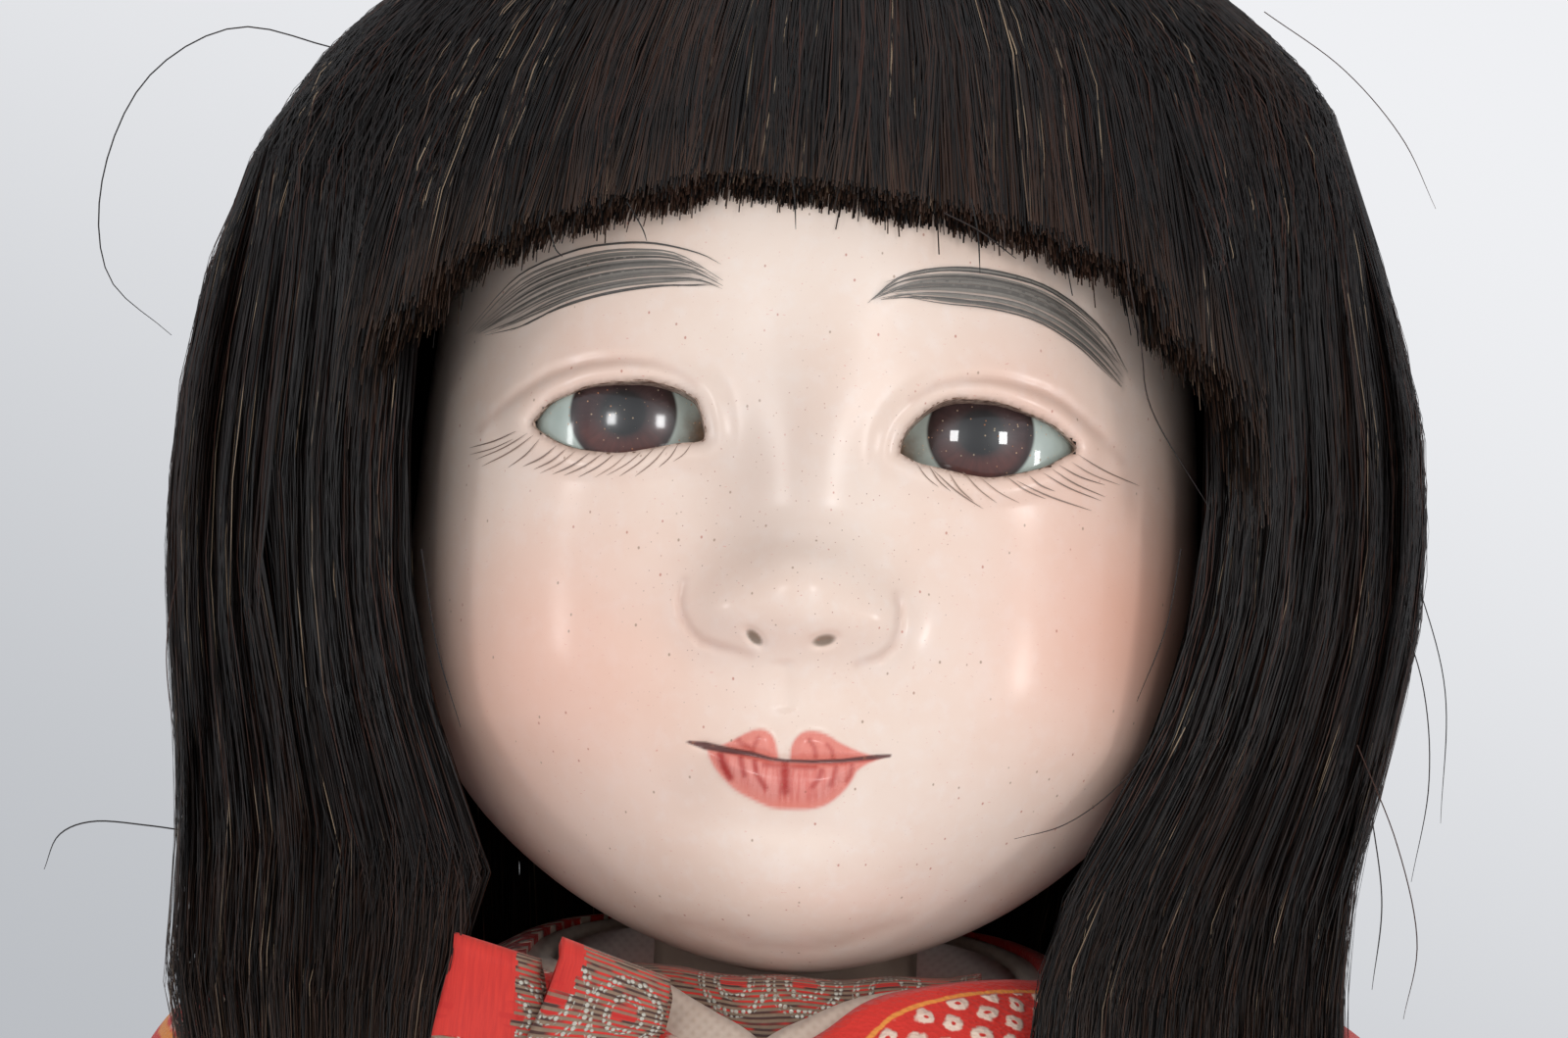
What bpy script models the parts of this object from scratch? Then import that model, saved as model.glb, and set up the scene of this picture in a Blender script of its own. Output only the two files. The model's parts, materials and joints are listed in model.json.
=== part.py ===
# A dressed play doll: moulded head with glass eyes and a bobbed wig, composition chest, hips, arms
# and legs joined by stuffed cloth, in a kimono with a brocade sash.
# The doll faces -Y and stands on the plane Z = 0. Lengths are in metres.

import math

import bmesh
import bpy
from mathutils import Vector

# Whole figure
CHIN_HEIGHT = 0.318
GAP = 0.0003                      # left between pieces that touch
SOFT_GAP = 0.0007                 # left under cloth that lies on a curved piece
OVERRUN = 0.004                   # how far a cutter runs past what it cuts

# Head, measured from the chin up and from the neck's axis out
HEAD_HEIGHT = 0.071
FACE_HALF_WIDTH = 0.0251
FACE_DEPTH = 0.0262
SKULL_DEPTH = 0.030
HEAD_WALL = 0.0024
NAPE_RISE = 0.020                 # how much higher the nape is than the chin
WIDEST_SHARE = 0.465              # height of the head's widest place
SIDE_POWER = 2.25                 # outline from the front
CHIN_POWER = 3.6                  # how square the profile of the chin is
PLAN_POWER = 2.25                 # outline from above
FACE_COLUMNS = 26
SKULL_COLUMNS = 8
INNER_COLUMNS = 8                 # inside the head

# Eyes
EYE_SPREAD = 0.0222               # between the two eyes' centres
EYE_HEIGHT = 0.0339
EYE_RADIUS = 0.0072
EYE_SETBACK = 0.0009              # how far the glass lies behind the skin
EYE_OPENING_WIDTH = 0.0108
UPPER_LID_RISE = 0.0022
LOWER_LID_DROP = 0.0021
GLASS_WALL = 0.0009
IRIS_RADIUS = 0.0034
IRIS_THICKNESS = 0.0007
WAD_LENGTH = 0.0050

# Ears
EAR_HALF_HEIGHT = 0.0058
EAR_HALF_DEPTH = 0.0034
EAR_HALF_THICKNESS = 0.0026
EAR_HEIGHT = 0.0290
EAR_SET_BACK = 0.0035

# Neck
NECK_RADIUS = 0.0087
NECK_INTO_HEAD = 0.0105
NECK_FOOT_RADIUS = 0.0112
NECK_FOOT_HEIGHT = 0.0045

# Wig, measured from the chin up
CAP_WALL = 0.0008
CAP_RIM_DROP = 0.0198             # the three drops are below the crown of the head
CAP_RIM_HEIGHT = HEAD_HEIGHT - CAP_RIM_DROP
HAIR_HALF_WIDTH = 0.0388
HAIR_FRONT = 0.0312
HAIR_BACK = 0.0365
HAIR_ON_CROWN = 0.0052
HAIR_TOP = HEAD_HEIGHT + HAIR_ON_CROWN
HAIR_WIDEST_HEIGHT = 0.028
HAIR_INNER_HALF_WIDTH = 0.0290    # clears the ears
CROWN_RIM_DROP = 0.0130
CROWN_RIM_HEIGHT = HEAD_HEIGHT - CROWN_RIM_DROP
FRINGE_DROP = 0.0218
FRINGE_MIDDLE_HEIGHT = HEAD_HEIGHT - FRINGE_DROP
FRINGE_END_DROP = 0.0085
FRINGE_HALF_ANGLE = math.radians(57)
BACK_HALF_ANGLE = math.radians(52)
SIDE_HAIR_END = 0.0010            # above the chin, where it meets the shoulder
BACK_HAIR_END = -0.0100
LOCK_END = -0.0120
LOCK_THICKNESS = 0.0065
LOCK_BACK_ANGLE = math.radians(66)
LEFT_LOCK_ANGLE = math.radians(26)
RIGHT_LOCK_ANGLE = math.radians(43)

# Chest, middle and hips
CHEST_DROP = 0.0095               # below the chin
CHEST_TOP = CHIN_HEIGHT - CHEST_DROP
CHEST_LENGTH = 0.0465
CHEST_BOTTOM = CHEST_TOP - CHEST_LENGTH
CHEST_HALF_WIDTH = 0.0335
CHEST_HALF_DEPTH = 0.0182
CHEST_WALL = 0.0026
MIDDLE_LENGTH = 0.048
MIDDLE_BOTTOM = CHEST_BOTTOM - MIDDLE_LENGTH
MIDDLE_HALF_WIDTH = 0.0310
MIDDLE_HALF_DEPTH = 0.0185
HIP_LENGTH = 0.038
HIP_BOTTOM = MIDDLE_BOTTOM - HIP_LENGTH
HIP_HALF_WIDTH = 0.0330
HIP_HALF_DEPTH = 0.0200
HIP_WALL = 0.0026

# Legs
LEG_SPREAD = 0.0270               # between the two legs' centres
THIGH_RADIUS = 0.0112
KNEE_HEIGHT = 0.104
CALF_RADIUS = 0.0096
ANKLE_RADIUS = 0.0064
ANKLE_HEIGHT = 0.017
FOOT_LENGTH = 0.0370
FOOT_HALF_WIDTH = 0.0072
FOOT_HEIGHT = 0.0105
HEEL_BACK = 0.0090
TOE_RADIUS = 0.0022
TOE_LENGTH = 0.0060

# Arms
ARM_SPREAD = 0.1060               # between the two hanging arms' centres
SHOULDER_DROP = 0.018             # below the chin
SHOULDER_HEIGHT = CHIN_HEIGHT - SHOULDER_DROP
UPPER_ARM_RADIUS = 0.0062
UPPER_ARM_LENGTH = 0.047
ELBOW_HEIGHT = SHOULDER_HEIGHT - UPPER_ARM_LENGTH
FOREARM_DROP = 0.0295
WRIST_HEIGHT = ELBOW_HEIGHT - FOREARM_DROP
WRIST_FORWARD = 0.0170
ELBOW_FORWARD = 0.0035
FOREARM_RADIUS = 0.0060
WRIST_RADIUS = 0.0044
PALM_HALF_WIDTH = 0.0056
PALM_HALF_THICKNESS = 0.0030
PALM_LENGTH = 0.0110
FINGER_RADIUS = 0.00135
FINGER_LENGTH = 0.0100

# Clothes
CLOTH = 0.0011                    # one layer of lined silk
NECKLINE_DROP = 0.0005            # below the chin
BODICE_TOP = CHIN_HEIGHT - NECKLINE_DROP
BODICE_LENGTH = 0.076
BODICE_BOTTOM = BODICE_TOP - BODICE_LENGTH
BODICE_HALF_WIDTH = 0.0428
BODICE_HALF_DEPTH = 0.0240
ROBE_STEP = 0.0033                # how much lower the robe inside ends
ROBE_TOP = BODICE_TOP - ROBE_STEP
ROBE_HALF_WIDTH = 0.0385
ROBE_HALF_DEPTH = 0.0220
NECKLINE_HALF_WIDTH = 0.0152
NECKLINE_BACK = 0.0138
NECKLINE_DIP = 0.0065             # how much lower the neckline is at the front
COLLAR_STAND = 0.0030
COLLAR_WIDTH = 0.0085
LAPEL_LENGTH = 0.045
CROSSING_DROP = 0.010             # below the bodice's top
LAPEL_CROSSING = BODICE_TOP - CROSSING_DROP
LAPEL_BOTTOM = LAPEL_CROSSING - LAPEL_LENGTH
BIB_HALF_WIDTH = 0.0108
BIB_HEIGHT = 0.0035
ARMHOLE_RADIUS = 0.0088
SKIRT_HALF_WIDTH = 0.0385
SKIRT_HALF_DEPTH = 0.0260
HEM_HEIGHT = 0.0125
SLEEVE_HALF_DEPTH = 0.0190
SLEEVE_RISE = 0.012               # above the shoulder's axis
SLEEVE_TOP = SHOULDER_HEIGHT + SLEEVE_RISE
SLEEVE_LENGTH = 0.164
SLEEVE_BOTTOM = SLEEVE_TOP - SLEEVE_LENGTH
CUFF_HALF_WIDTH = 0.0066
CUFF_HALF_HEIGHT = 0.0190

# Sash
OBI_DROP = 0.0575                 # below the bodice's top
OBI_TOP = BODICE_TOP - OBI_DROP
OBI_WIDTH = 0.037
OBI_BOTTOM = OBI_TOP - OBI_WIDTH
OBI_THICKNESS = 0.0022
OBI_HALF_WIDTH = 0.0408
OBI_HALF_DEPTH = 0.0268
CORD_RADIUS = 0.0013
BOW_HALF_WIDTH = 0.0385
BOW_HEIGHT = 0.0330
BOW_DEPTH = 0.0110
BOW_WALL = 0.0016
BOW_KNOT_HALF_WIDTH = 0.0065
TAIL_LENGTH = 0.0520
TAIL_WIDTH = 0.0160

# Brocade bow on the doll's right collar
TIE_WIDTH = 0.0068
TIE_WALL = 0.0009
TIE_HEIGHT = 0.0150
TIE_DEPTH = 0.0044
TIE_SIDE = 0.0150
TIE_RISE = 0.002                  # above the bodice's top
TIE_TOP = BODICE_TOP + TIE_RISE

ROUND_STEPS = 20                  # points round the clothes
HIDDEN_STEPS = 16                 # points round what the clothes cover
LIMB_STEPS = 12
FINGER_STEPS = 8
BODY_POWER = 2.4                  # how square the body and the clothes are in plan
SLEEVE_POWER = 4.0

# Rows of an upper garment: height, half width, front and back depth, and how much the front dips.
GARMENT_SHARES = (
    (0.0, 0.865, 0.96, 0.94, 0.0), (0.26, 0.875, 0.98, 0.94, 0.0), (0.53, 0.94, 1.0, 0.93, 0.0),
    (0.75, 1.0, 0.97, 0.86, 0.0), (0.855, 1.0, 0.90, 0.78, 0.0),
    (0.93, 0.94, 0.83, 0.70, 0.35), (0.975, 0.78, 0.76, 0.66, 0.70),
)

COLOURS = {
    "shell_white": ((0.83, 0.72, 0.64), 0.34, 0.0),
    "composition": ((0.55, 0.42, 0.30), 0.70, 0.0),
    "neck_wood": ((0.80, 0.70, 0.61), 0.45, 0.0),
    "eye_glass": ((0.56, 0.62, 0.56), 0.06, 0.0),
    "iris_enamel": ((0.075, 0.030, 0.030), 0.20, 0.0),
    "paper_wad": ((0.60, 0.55, 0.45), 0.90, 0.0),
    "wig_cloth": ((0.03, 0.025, 0.02), 0.90, 0.0),
    "hair": ((0.012, 0.008, 0.007), 0.42, 0.0),
    "stuffed_cotton": ((0.70, 0.64, 0.52), 0.92, 0.0),
    "red_crepe": ((0.60, 0.025, 0.015), 0.80, 0.0),
    "white_crepe": ((0.66, 0.60, 0.52), 0.88, 0.0),
    "brocade": ((0.26, 0.085, 0.045), 0.60, 0.0),
    "sash_cord": ((0.58, 0.34, 0.08), 0.70, 0.0),
}

for old in list(bpy.data.objects):
    bpy.data.objects.remove(old)
doll = bpy.data.collections.new("gosho_doll")
cutters = bpy.data.collections.new("cutters")
bpy.context.scene.collection.children.link(doll)
bpy.context.scene.collection.children.link(cutters)


# Materials

def material(slot):
    found = bpy.data.materials.get(slot)
    if found:
        return found
    colour, roughness, metallic = COLOURS[slot]
    made = bpy.data.materials.new(slot)
    made.use_nodes = True
    shader = made.node_tree.nodes["Principled BSDF"]
    shader.inputs["Base Color"].default_value = (*colour, 1)
    shader.inputs["Roughness"].default_value = roughness
    shader.inputs["Metallic"].default_value = metallic
    return made


# General shapes

def piece(name, mesh_data, slot):
    made = bpy.data.objects.new(name, mesh_data)
    made.data.materials.append(material(slot))
    doll.objects.link(made)
    return made


def hide_as_cutter(made):
    for home in list(made.users_collection):
        home.objects.unlink(made)
    cutters.objects.link(made)
    made.hide_render = True
    made.display_type = "WIRE"
    return made


def finished_mesh(name, bm):
    bmesh.ops.recalc_face_normals(bm, faces=bm.faces[:])
    if all(edge.is_manifold for edge in bm.edges) and bm.calc_volume(signed=True) < 0:
        bmesh.ops.reverse_faces(bm, faces=bm.faces[:])
    data = bpy.data.meshes.new(name)
    bm.to_mesh(data)
    bm.free()
    data.shade_smooth()
    return data


def lofted(name, rings, slot, close_low=True, close_high=True, wall=0.0):
    # Skins a row of rings with the same count of points. A wall turns the open skin into a shell.
    bm = bmesh.new()
    rows = [[bm.verts.new(point) for point in ring] for ring in rings]
    count = len(rows[0])
    for low, high in zip(rows, rows[1:]):
        for i in range(count):
            j = (i + 1) % count
            bm.faces.new((low[i], low[j], high[j], high[i]))
    if close_low:
        bm.faces.new(reversed(rows[0]))
    if close_high:
        bm.faces.new(rows[-1])
    made = piece(name, finished_mesh(name, bm), slot)
    if wall:
        shell = made.modifiers.new("wall", "SOLIDIFY")
        shell.thickness = wall
        shell.offset = -1
    return made


def signed_power(value, power):
    return math.copysign(abs(value) ** power, value)


def rounded_outline(half_width, half_depth, power, steps):
    turns = [2 * math.pi * i / steps for i in range(steps)]
    return [(half_width * signed_power(math.cos(turn), power),
             half_depth * signed_power(math.sin(turn), power))
            for turn in turns]


def body_ring(height, width, front, back, power=BODY_POWER, dip=0.0, steps=ROUND_STEPS):
    # An oval in plan, with its front lowered by dip.
    points = []
    for i in range(steps):
        angle = 2 * math.pi * i / steps
        side = signed_power(math.cos(angle), 2 / power)
        along = signed_power(math.sin(angle), 2 / power)
        level = height - dip * max(0.0, -math.sin(angle)) ** 2
        points.append(Vector((width * side, (back if along > 0 else front) * along, level)))
    return points


def swept(name, stations, slot, steps=LIMB_STEPS):
    # A limb: each station is a centre, a half width along X and a half thickness across the limb.
    centres = [Vector(station[0]) for station in stations]
    rings = []
    for i, (centre, width, thickness) in enumerate(stations):
        along = (centres[min(i + 1, len(centres) - 1)] - centres[max(i - 1, 0)]).normalized()
        across = along.cross(Vector((1, 0, 0))).normalized()
        turns = [2 * math.pi * step / steps for step in range(steps)]
        ring = [
            centres[i] + Vector((width * math.cos(turn), 0, 0)) + across * thickness * math.sin(turn)
            for turn in turns
        ]
        rings.append(ring)
    return lofted(name, rings, slot)


def round_ended(start, end, start_radius, end_radius):
    # Stations of a tapered finger or toe with a rounded tip.
    start, end = Vector(start), Vector(end)
    along = (end - start).normalized()
    tip_shares = ((0.0, 1.0), (0.55, 0.86), (0.9, 0.45))
    stations = [(start, start_radius, start_radius)]
    for reach_share, radius_share in tip_shares:
        radius = end_radius * radius_share
        stations.append((end + along * end_radius * (reach_share - 1), radius, radius))
    return stations


def boolean(target, other, operation):
    cut = target.modifiers.new(other.name, "BOOLEAN")
    cut.operation = operation
    cut.solver = "EXACT"
    cut.object = other


def cylinder_cutter(name, radius, length, centre, direction):
    bpy.ops.mesh.primitive_cylinder_add(vertices=ROUND_STEPS, radius=radius, depth=length, location=centre)
    made = bpy.context.object
    made.name = name
    made.rotation_mode = "QUATERNION"
    made.rotation_quaternion = Vector(direction).to_track_quat("Z", "Y")
    return hide_as_cutter(made)


def turned(name, profile, slot, steps=ROUND_STEPS):
    # A closed profile on the +X side, from top to bottom, turned about Z.
    bm = bmesh.new()
    points = [bm.verts.new((radius, 0, height)) for radius, height in profile]
    for one, two in zip(points, points[1:]):
        bm.edges.new((one, two))
    data = bpy.data.meshes.new(name)
    bm.to_mesh(data)
    bm.free()
    made = piece(name, data, slot)
    turn = made.modifiers.new("turn", "SCREW")
    turn.steps = steps
    turn.render_steps = steps
    turn.use_merge_vertices = True
    turn.merge_threshold = 0.00001
    turn.use_smooth_shade = True
    return made


def extruded(name, outline, half_thickness, slot, hole=None):
    # A flat outline in X and Y, thick along Z, as a filled curve turned into a mesh.
    data = bpy.data.curves.new(name, "CURVE")
    data.dimensions = "2D"
    data.fill_mode = "BOTH"
    data.extrude = half_thickness
    for points in (outline, hole):
        if points:
            line = data.splines.new("POLY")
            line.points.add(len(points) - 1)
            for point, place in zip(line.points, points):
                point.co = (place[0], place[1], 0, 1)
            line.use_cyclic_u = True
    flat = bpy.data.objects.new(name, data)
    bpy.context.scene.collection.objects.link(flat)
    bpy.context.view_layer.update()
    solid = bpy.data.meshes.new_from_object(flat.evaluated_get(bpy.context.evaluated_depsgraph_get()))
    bpy.data.objects.remove(flat)
    bm = bmesh.new()
    bm.from_mesh(solid)
    bmesh.ops.remove_doubles(bm, verts=bm.verts[:], dist=0.00001)
    bmesh.ops.recalc_face_normals(bm, faces=bm.faces[:])
    bm.to_mesh(solid)
    bm.free()
    solid.name = name
    return piece(name, solid, slot)


# Head

def head_level(height):
    # Height as a share of the way from the widest place to the chin or to the crown.
    widest = HEAD_HEIGHT * WIDEST_SHARE
    if height < widest:
        return (widest - height) / widest
    return (height - widest) / (HEAD_HEIGHT - widest)


def relief(x, height):
    # How far the face stands out of the plain head at this place.
    # Each row: place across, height, spread across, spread in height and rise, as shares
    # of the face's half width.
    relief_shares = (
        (0.0, 0.19, 0.33, 0.20, 0.085),        # chin
        (0.57, 0.74, 0.34, 0.36, 0.055),       # cheeks
        (0.0, 0.56, 0.32, 0.26, 0.060),        # muzzle
        (0.0, 1.22, 0.105, 0.26, 0.050),       # bridge of the nose
        (0.0, 0.945, 0.155, 0.125, 0.165),     # tip of the nose
        (0.215, 0.885, 0.075, 0.085, 0.075),   # wings of the nose
        (0.06, 0.575, 0.085, 0.040, 0.032),    # upper lip
        (0.0, 0.475, 0.150, 0.060, 0.045),     # lower lip
        (0.0, 0.535, 0.190, 0.020, -0.030),    # line of the mouth
        (0.44, 1.42, 0.30, 0.19, -0.050),      # eye sockets
        (0.44, 1.37, 0.22, 0.11, 0.040),       # lids
        (0.0, 2.10, 0.70, 0.45, 0.030),        # forehead
    )
    total = 0.0
    for across, level, wide, tall, rise in relief_shares:
        sides = (across,) if across == 0 else (across, -across)
        for side in sides:
            u = (x / FACE_HALF_WIDTH - side) / wide
            v = (height / FACE_HALF_WIDTH - level) / tall
            total += rise * math.exp(-u * u - v * v)
    return total * FACE_HALF_WIDTH


def head_point(angle, height, inset=0.0, with_relief=False):
    # Angle runs round from the front, positive to +X. Inset makes the shell's inner skin.
    level = min(1.0, head_level(height))
    side = (1 - level ** SIDE_POWER) ** (1 / SIDE_POWER)
    front = angle if abs(angle) < math.pi / 2 else None
    power = CHIN_POWER if front is not None and height < HEAD_HEIGHT * WIDEST_SHARE else SIDE_POWER
    fore = (1 - level ** power) ** (1 / power)
    depth = FACE_DEPTH if front is not None else SKULL_DEPTH
    along = signed_power(math.cos(angle), 2 / PLAN_POWER)
    x = (FACE_HALF_WIDTH - inset) * side * signed_power(math.sin(angle), 2 / PLAN_POWER)
    y = -(depth - inset) * (side + (fore - side) * max(0.0, along)) * along
    middle = HEAD_HEIGHT * WIDEST_SHARE
    z = middle + (height - middle) * (1 - inset / middle)
    if with_relief:
        y -= relief(x, height) * max(0.0, math.cos(angle))
    if height < middle:
        slope = min(1.0, max(0.0, (y + FACE_DEPTH * 0.6) / (FACE_DEPTH + SKULL_DEPTH) * 1.6))
        z += NAPE_RISE * level * level * slope * slope * (3 - 2 * slope)
    return Vector((x, y, CHIN_HEIGHT + z))


def head_rows():
    # Heights of the rows of faces: close together over the nose, lips and eyes.
    band_shares = (
        (0.0, 0.01, 1), (0.01, 0.08, 3), (0.08, 0.42, 17), (0.42, 0.56, 5), (0.56, 0.95, 4), (0.95, 1.0, 2),
    )
    heights = []
    for low_share, high_share, count in band_shares:
        for i in range(count):
            heights.append(HEAD_HEIGHT * (low_share + (high_share - low_share) * i / count))
    return heights + [HEAD_HEIGHT]


def half_head(name, first_angle, last_angle, columns, with_relief):
    # Two skins, outer and inner, joined along the seam. Both ends of each skin close in one point.
    bm = bmesh.new()
    heights = head_rows() if with_relief else head_rows()[::2]
    middle, reach = (first_angle + last_angle) / 2, (last_angle - first_angle) / 2
    made = []
    for inset, count in ((0.0, columns), (HEAD_WALL, INNER_COLUMNS)):
        shown = with_relief and inset == 0
        shares = [2 * i / count - 1 for i in range(count + 1)]
        angles = [middle + reach * (signed_power(share, 1.35) if shown else share) for share in shares]
        rows = []
        for height in heights:
            points = [head_point(angle, height, inset, shown) for angle in angles]
            if height in (heights[0], heights[-1]):
                rows.append([bm.verts.new(points[0])] * len(points))
            else:
                rows.append([bm.verts.new(point) for point in points])
        made.append(rows)
    for rows in made:
        for low, high in zip(rows, rows[1:]):
            for i in range(len(low) - 1):
                corners = []
                for corner in (low[i], low[i + 1], high[i + 1], high[i]):
                    if corner not in corners:
                        corners.append(corner)
                bm.faces.new(corners)
    outer, inner = made
    for end in (0, -1):
        for k in range(len(heights) - 1):
            bm.faces.new((outer[k][end], outer[k + 1][end], inner[k + 1][end], inner[k][end]))
    return piece(name, finished_mesh(name, bm), "shell_white")


def eye_centre(side):
    skin = head_point(math.asin(EYE_SPREAD / 2 / FACE_HALF_WIDTH), EYE_HEIGHT)
    depth = skin.y + EYE_SETBACK + EYE_RADIUS
    return Vector((side * EYE_SPREAD / 2, depth, CHIN_HEIGHT + EYE_HEIGHT))


def lid_outline(steps=9):
    # An almond: two arcs that meet at the corners of the eye, a little fuller towards the nose.
    half = EYE_OPENING_WIDTH / 2
    upper = [(half * math.cos(math.pi * i / steps), UPPER_LID_RISE * math.sin(math.pi * i / steps) ** 0.9)
             for i in range(steps)]
    lower = [(-half * math.cos(math.pi * i / steps), -LOWER_LID_DROP * math.sin(math.pi * i / steps) ** 0.9)
             for i in range(steps)]
    return upper + lower


def eye(side, word):
    centre = eye_centre(side)
    steps = 5
    reach = math.radians(62)
    rim = [i * reach / steps for i in range(steps + 1)]
    outer = [(EYE_RADIUS * math.sin(a), EYE_RADIUS * math.cos(a)) for a in rim]
    inner_radius = EYE_RADIUS - GLASS_WALL
    inner = [(inner_radius * math.sin(a), inner_radius * math.cos(a)) for a in reversed(rim)]
    glass = turned("eye_glass_" + word, outer + inner, "eye_glass", steps=14)
    seat = inner_radius * math.cos(math.asin(IRIS_RADIUS / inner_radius)) - GAP
    disc = [(0, seat), (IRIS_RADIUS, seat), (IRIS_RADIUS, seat - IRIS_THICKNESS), (0, seat - IRIS_THICKNESS)]
    iris = turned("iris_" + word, disc, "iris_enamel", steps=14)
    wad_radius = EYE_RADIUS * math.sin(reach)
    wad_top = inner_radius * math.cos(reach) - GAP
    wad = [(0, wad_top), (wad_radius * 0.8, wad_top), (wad_radius, wad_top - GAP * 2),
           (wad_radius, wad_top - WAD_LENGTH * 0.6), (wad_radius * 0.7, wad_top - WAD_LENGTH),
           (0, wad_top - WAD_LENGTH)]
    backing = turned("eye_wad_" + word, wad, "paper_wad", steps=12)
    for made in (glass, iris, backing):
        made.location = centre
        made.rotation_euler = (math.pi / 2, 0, 0)


def ear(side, word):
    bpy.ops.mesh.primitive_uv_sphere_add(segments=12, ring_count=8, radius=EAR_HALF_HEIGHT)
    made = bpy.context.object
    made.name = "ear_" + word
    made.scale = (EAR_HALF_THICKNESS / EAR_HALF_HEIGHT, EAR_HALF_DEPTH / EAR_HALF_HEIGHT, 1)
    made.location = (side * FACE_HALF_WIDTH, EAR_SET_BACK - EAR_HALF_DEPTH * 2, CHIN_HEIGHT + EAR_HEIGHT)
    made.rotation_euler = (math.radians(-10), 0, side * math.radians(14))
    return hide_as_cutter(made)


def head():
    quarter = math.pi / 2
    seam = GAP / 2
    face = half_head("face_shell", -quarter, quarter, FACE_COLUMNS, True)
    skull = half_head("skull_shell", quarter, 3 * quarter, SKULL_COLUMNS, False)
    for half, offset in ((face, -seam), (skull, seam)):
        half.location.y = offset
    hole = cylinder_cutter("neck_hole", NECK_RADIUS + GAP, HEAD_HEIGHT / 2,
                           (0, 0, CHIN_HEIGHT), (0, 0, 1))
    for side, word in ((1, "left"), (-1, "right")):
        boolean(face, ear(side, word), "UNION")
    for side, word in ((1, "left"), (-1, "right")):
        centre = eye_centre(side)
        lids = extruded("lids_" + word, lid_outline(), HEAD_WALL + OVERRUN, "shell_white")
        lids.location = centre - Vector((0, EYE_RADIUS, 0))
        lids.rotation_euler = (math.pi / 2, 0, 0)
        boolean(face, hide_as_cutter(lids), "DIFFERENCE")
        bpy.ops.mesh.primitive_uv_sphere_add(segments=20, ring_count=12, radius=EYE_RADIUS + GAP,
                                             location=centre)
        socket = bpy.context.object
        socket.name = "eye_socket_" + word
        boolean(face, hide_as_cutter(socket), "DIFFERENCE")
        eye(side, word)
    boolean(face, hole, "DIFFERENCE")
    boolean(skull, hole, "DIFFERENCE")


def neck():
    plate_under = CHEST_TOP - CHEST_WALL - GAP
    top = CHIN_HEIGHT + NECK_INTO_HEAD
    profile = [
        (0, top), (NECK_RADIUS * 0.85, top), (NECK_RADIUS, top - NECK_RADIUS * 0.2),
        (NECK_RADIUS, plate_under), (NECK_FOOT_RADIUS, plate_under - NECK_FOOT_HEIGHT * 0.3),
        (NECK_FOOT_RADIUS, plate_under - NECK_FOOT_HEIGHT * 0.7),
        (NECK_RADIUS, plate_under - NECK_FOOT_HEIGHT), (0, plate_under - NECK_FOOT_HEIGHT),
    ]
    turned("neck", profile, "neck_wood", steps=HIDDEN_STEPS)


# Wig

def hair_point(angle, height):
    # The wig's outer skin: a full round bob, a little narrower again at its ends.
    if height > HAIR_WIDEST_HEIGHT:
        level = (height - HAIR_WIDEST_HEIGHT) / (HAIR_TOP - HAIR_WIDEST_HEIGHT)
        size = math.sqrt(max(0.0, 1 - level * level))
    else:
        size = 1 - 0.10 * ((HAIR_WIDEST_HEIGHT - height) / HAIR_WIDEST_HEIGHT) ** 1.6
    depth = HAIR_FRONT if abs(angle) < math.pi / 2 else HAIR_BACK
    x = HAIR_HALF_WIDTH * size * signed_power(math.sin(angle), 0.92)
    y = -depth * size * signed_power(math.cos(angle), 0.92)
    return Vector((x, y, CHIN_HEIGHT + height))


def under_hair_point(angle, height, clear):
    # The hair's inner skin lies on the cap and hangs straight below the head's widest place.
    widest = HEAD_HEIGHT * WIDEST_SHARE
    level = widest + max(0.0, height - widest) / (1 + clear / widest)
    point = head_point(angle, level, -clear)
    hanging = min(1.0, max(0.0, (CAP_RIM_HEIGHT - height) / (CAP_RIM_HEIGHT - HAIR_WIDEST_HEIGHT)))
    spread = 1 + (HAIR_INNER_HALF_WIDTH / (FACE_HALF_WIDTH + clear) - 1) * hanging * abs(math.sin(angle))
    return Vector((point.x * spread, point.y, CHIN_HEIGHT + height))


def bodice_front(x, height):
    # How far forward the bodice reaches at this place, read between or past the rows of its shape.
    rows = []
    for up, wide, front, back, dip in GARMENT_SHARES:
        inside = max(0.0, 1 - (abs(x) / (BODICE_HALF_WIDTH * wide)) ** BODY_POWER)
        level = BODICE_BOTTOM + (BODICE_TOP - BODICE_BOTTOM) * up - NECKLINE_DIP * dip * inside
        rows.append((level, BODICE_HALF_DEPTH * front * inside ** (1 / BODY_POWER)))
    pairs = list(zip(rows, rows[1:]))
    low, high = next((pair for pair in pairs if pair[1][0] >= height), pairs[-1])
    return low[1] + (high[1] - low[1]) * (height - low[0]) / (high[0] - low[0])


def lock_skin(out):
    # A lock hangs from the side of the wig and lies on the front of the bodice lower down.
    def at(angle, height):
        hung = hair_point(angle, height)
        lying = -bodice_front(hung.x, hung.z) - SOFT_GAP * 2
        return Vector((hung.x, min(lying, hung.y + LOCK_THICKNESS) - out, hung.z))
    return at


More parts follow.
